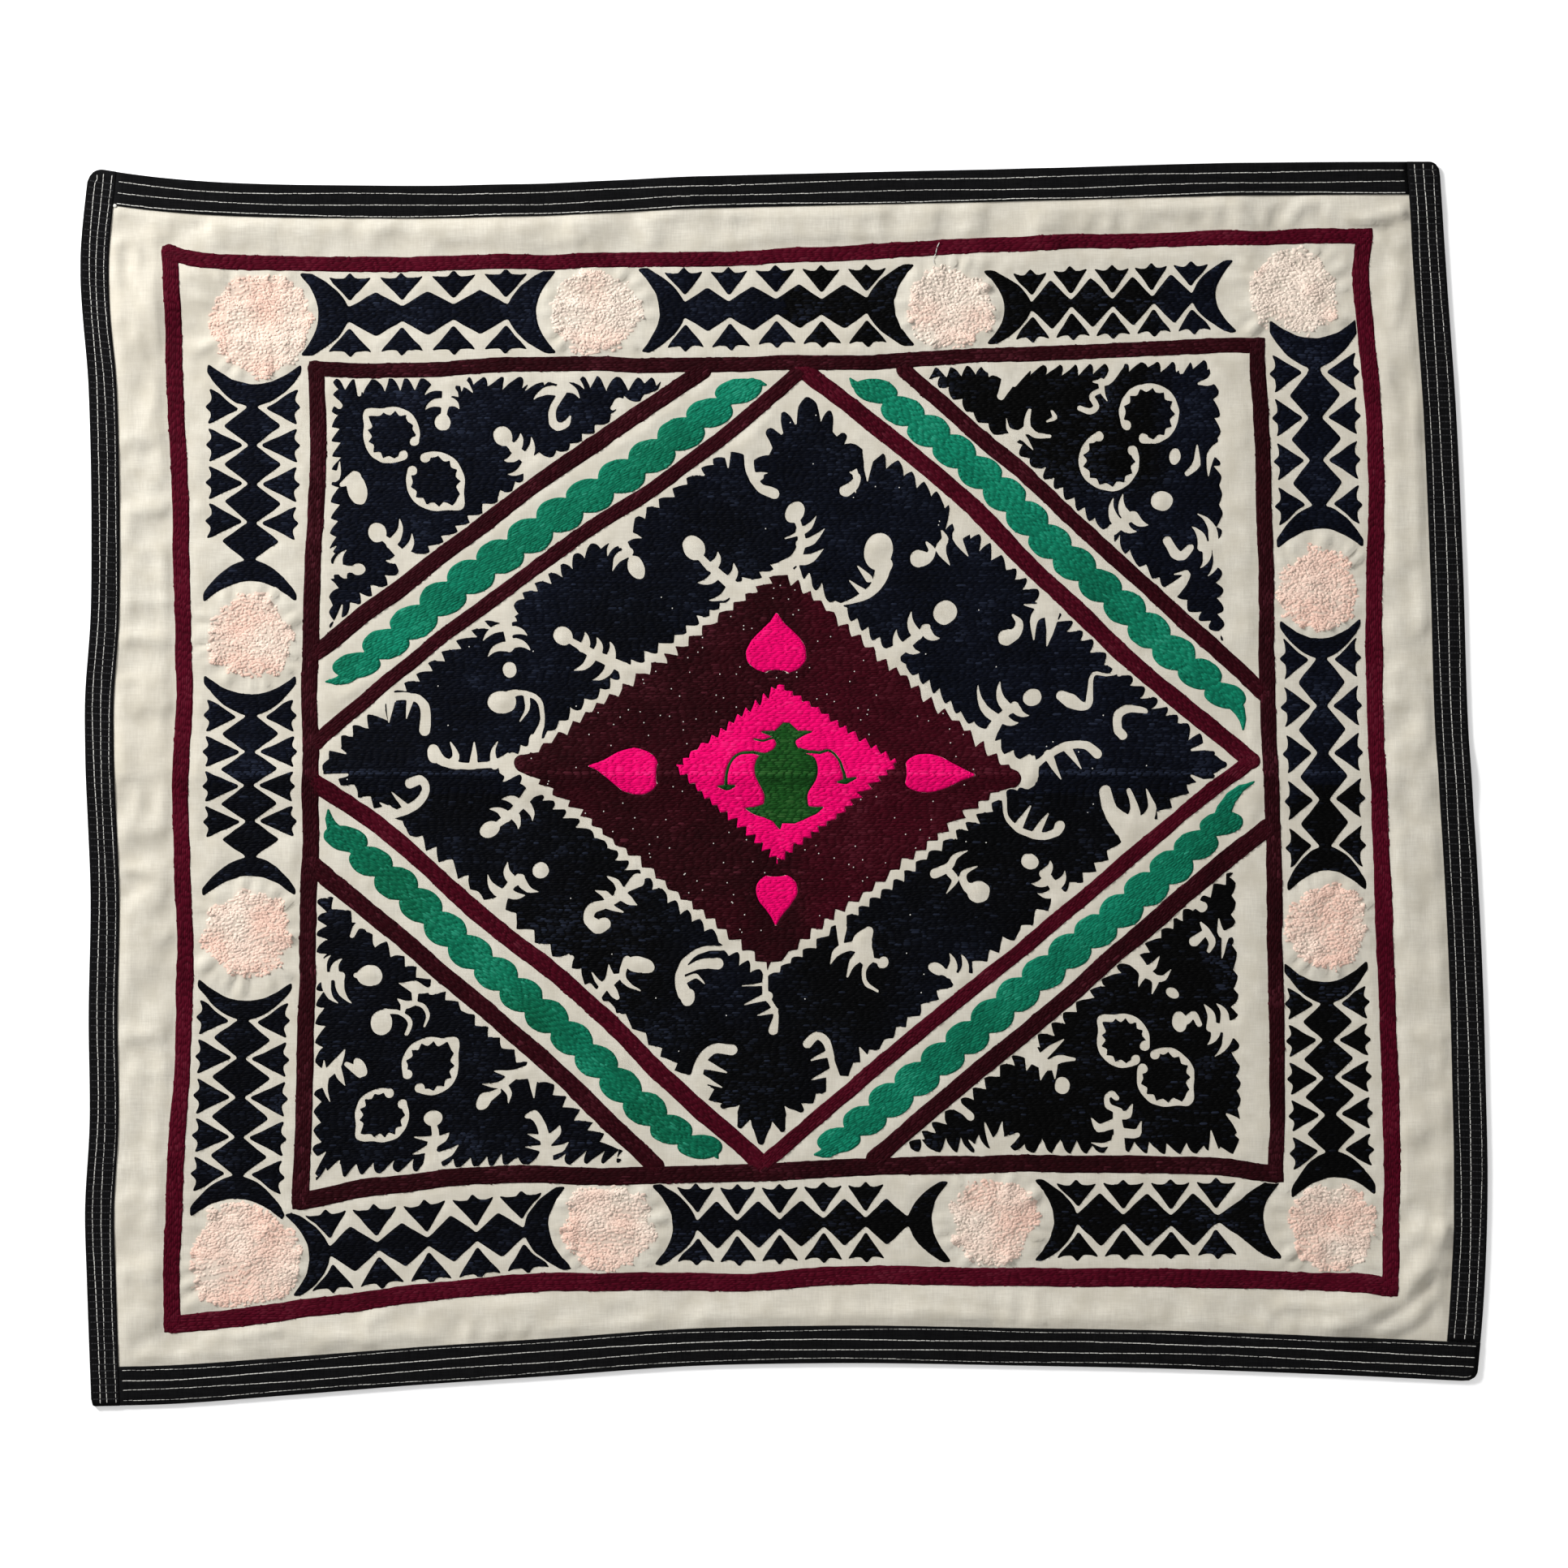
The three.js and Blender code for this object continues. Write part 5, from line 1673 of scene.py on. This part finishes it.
def onStrip(side, rows):
    # stitch ends on the cloth from rows of (station, inward, station, inward)
    ends = np.empty(rows.shape)
    for k in (0, 2):
        across, along = stripPlace(side, rows[:, k], rows[:, k + 1])
        ends[:, k], ends[:, k + 1] = placeOnCloth(across, along)
    return ends


def topStitches(side, seed):
    random = np.random.default_rng(seed)
    width = bindingWidth[side]
    start, end = stripEnds(side)
    rows = []
    for share in bindings[side]["rows"]:
        begin = np.arange(start + 3, end - 6, strip["stitchPitch"])
        begin = begin + random.uniform(-0.3, 0.3, len(begin))
        sway = strip["sway"] * np.sin(begin / 62 + share * 9) * np.sin(begin / 170 + share * 5)
        inward = share * width + sway + random.normal(0, strip["stray"], len(begin))
        rows.append(np.column_stack([begin, inward, begin + strip["stitchLong"], inward]))
    ends = onStrip(side, np.vstack(rows))
    count = len(ends)
    widths, rises = np.full(count, strip["stitchWide"]), np.full(count, strip["stitchRise"])
    return stitchMesh("topstitch_" + side, ends, widths, rises, stripTop,
                      random.uniform(0.3, 0.9, count), np.zeros(count), whiteYarn)


def quiltTicks(side, seed):
    # dark cross stitches, a ladder over the strip in short lengths that follow its quilted face
    random = np.random.default_rng(seed)
    width = bindingWidth[side]
    start, end = stripEnds(side)
    station = np.arange(start + quilt["fromEnd"], end - quilt["fromEnd"], quilt["pitch"])
    station = station + random.uniform(-quilt["stray"], quilt["stray"], len(station))
    cuts = np.linspace(quilt["from"], quilt["to"], quilt["cuts"]) * width
    rows = np.vstack([np.column_stack([station, np.full(len(station), a), station, np.full(len(station), b)])
                      for a, b in zip(cuts, cuts[1:])])
    ends = onStrip(side, rows)
    count = len(ends)
    lift = puffAt(side, rows[:, 0], (rows[:, 1] + rows[:, 3]) / 2)[:, None]

    def base(x, y):
        return stripTop(x, y) + lift

    widths, rises = np.full(count, quilt["wide"]), np.full(count, quilt["rise"])
    return stitchMesh("quilting_" + side, ends, widths, rises, base,
                      random.uniform(0.2, 0.8, count), np.zeros(count), greyYarn)


strips, topRows = {}, {}
for k, side in enumerate(bindings):
    strips[side] = bindingPiece(side)
    topRows[side] = [topStitches(side, 900 + k)]
    if bindings[side]["ticks"]:
        topRows[side].append(quiltTicks(side, 950 + k))
print("bindings done")


# White specks of bare cloth in the dense stitching, and loose ends of sewing thread

specks = {"maroon": 130, "ring": 40, "long": 1.5, "wide": 1.3, "rise": 0.5, "lift": 0.55, "threadWide": 0.9,
          "tackWide": 2.6}
looseThread = [(170, 592), (167, 586), (166, 580), (163, 574), (164, 568)]
tack = (-731, 632)  # on the left binding


def speckPiece():
    random = np.random.default_rng(61)
    places = []
    for field, count in ((maroonField, specks["maroon"]), (ringField, specks["ring"])):
        rows, columns = np.nonzero(field > 3)
        chosen = random.choice(len(rows), count, replace=False)
        places.append(np.column_stack([columnX[columns[chosen]], rowY[rows[chosen]]]))
    places = np.vstack(places)
    half = specks["long"] / 2
    ends = np.column_stack([places[:, 0] - half, places[:, 1], places[:, 0] + half, places[:, 1]])
    thread = np.array([(*a, *b) for a, b in zip(looseThread, looseThread[1:])], float)
    knot = np.tile(tack, 2) + np.array([(-2, -1, 2, 1), (-1, 2, 1, -2)])
    ends = np.vstack([ends, thread, knot])
    widths = np.repeat([specks["wide"], specks["threadWide"], specks["tackWide"]],
                       [len(places), len(thread), len(knot)])
    stitched = np.maximum(np.maximum(maroonField, ringField), lineField)

    def base(x, y):
        onCloth = sampleAt(faceLift, x, y) + padHeight(sampleAt(stitched, x, y)) + specks["lift"]
        return np.where(x < tack[0] + bindingWidth["left"], stripTop(x, y), onCloth)

    count = len(ends)
    return stitchMesh("white_specks", ends, widths, np.full(count, specks["rise"]), base,
                      random.uniform(0.3, 1.0, count), np.zeros(count), whiteYarn)


extras.append(speckPiece())


# Floor, light and camera

# what the camera sees across in mm, its lens and sensor, the floor's drop in mm and size in metres
studio = {"frameWidth": 1714.65, "lens": 90.0, "sensor": 36.0, "floorDrop": 0.4, "floorSize": 14.0,
          "sky": 0.4}
lights = [  # (name, place and size in metres, power)
    ("key light", (-3.7, 3.3, 2.5), 1.8, 560), ("fill light", (1.6, -2.4, 3.4), 3.0, 30),
]


def makeFloor():
    half = studio["floorSize"] / 2
    mesh = bpy.data.meshes.new("floor")
    z = -studio["floorDrop"] * mm
    corners = [(-half, -half, z), (half, -half, z), (half, half, z), (-half, half, z)]
    mesh.from_pydata(corners, [], [(0, 1, 2, 3)])
    material, tree, surface = newMaterial("pale floor", 0.95, 0.1)
    surface.inputs["Base Color"].default_value = (0.95, 0.95, 0.95, 1)
    surface.inputs["Emission Color"].default_value = (1, 1, 1, 1)
    surface.inputs["Emission Strength"].default_value = 0.2
    mesh.materials.append(material)
    floor = bpy.data.objects.new("floor", mesh)
    scene.collection.objects.link(floor)
    return floor


def makeLight(name, place, size, power):
    data = bpy.data.lights.new(name, "AREA")
    data.shape, data.size, data.energy = "DISK", size, power
    light = bpy.data.objects.new(name, data)
    light.location = place
    light.rotation_euler = (-light.location).to_track_quat("-Z", "Y").to_euler()
    light.visible_camera = False
    scene.collection.objects.link(light)


def makeStudio():
    floor = makeFloor()
    for row in lights:
        makeLight(*row)
    world = bpy.data.worlds.new("studio")
    world.use_nodes = True
    sky = world.node_tree.nodes["Background"]
    sky.inputs["Color"].default_value = (1, 1, 1, 1)
    sky.inputs["Strength"].default_value = studio["sky"]
    scene.world = world
    scene.view_settings.view_transform = "Standard"
    camera = bpy.data.cameras.new("camera")
    camera.sensor_width, camera.lens = studio["sensor"], studio["lens"]
    holder = bpy.data.objects.new("camera", camera)
    holder.location = (0, 0, studio["frameWidth"] * mm * studio["lens"] / studio["sensor"])
    scene.collection.objects.link(holder)
    scene.camera = holder
    return floor


floor = makeStudio()

print("scene ready")
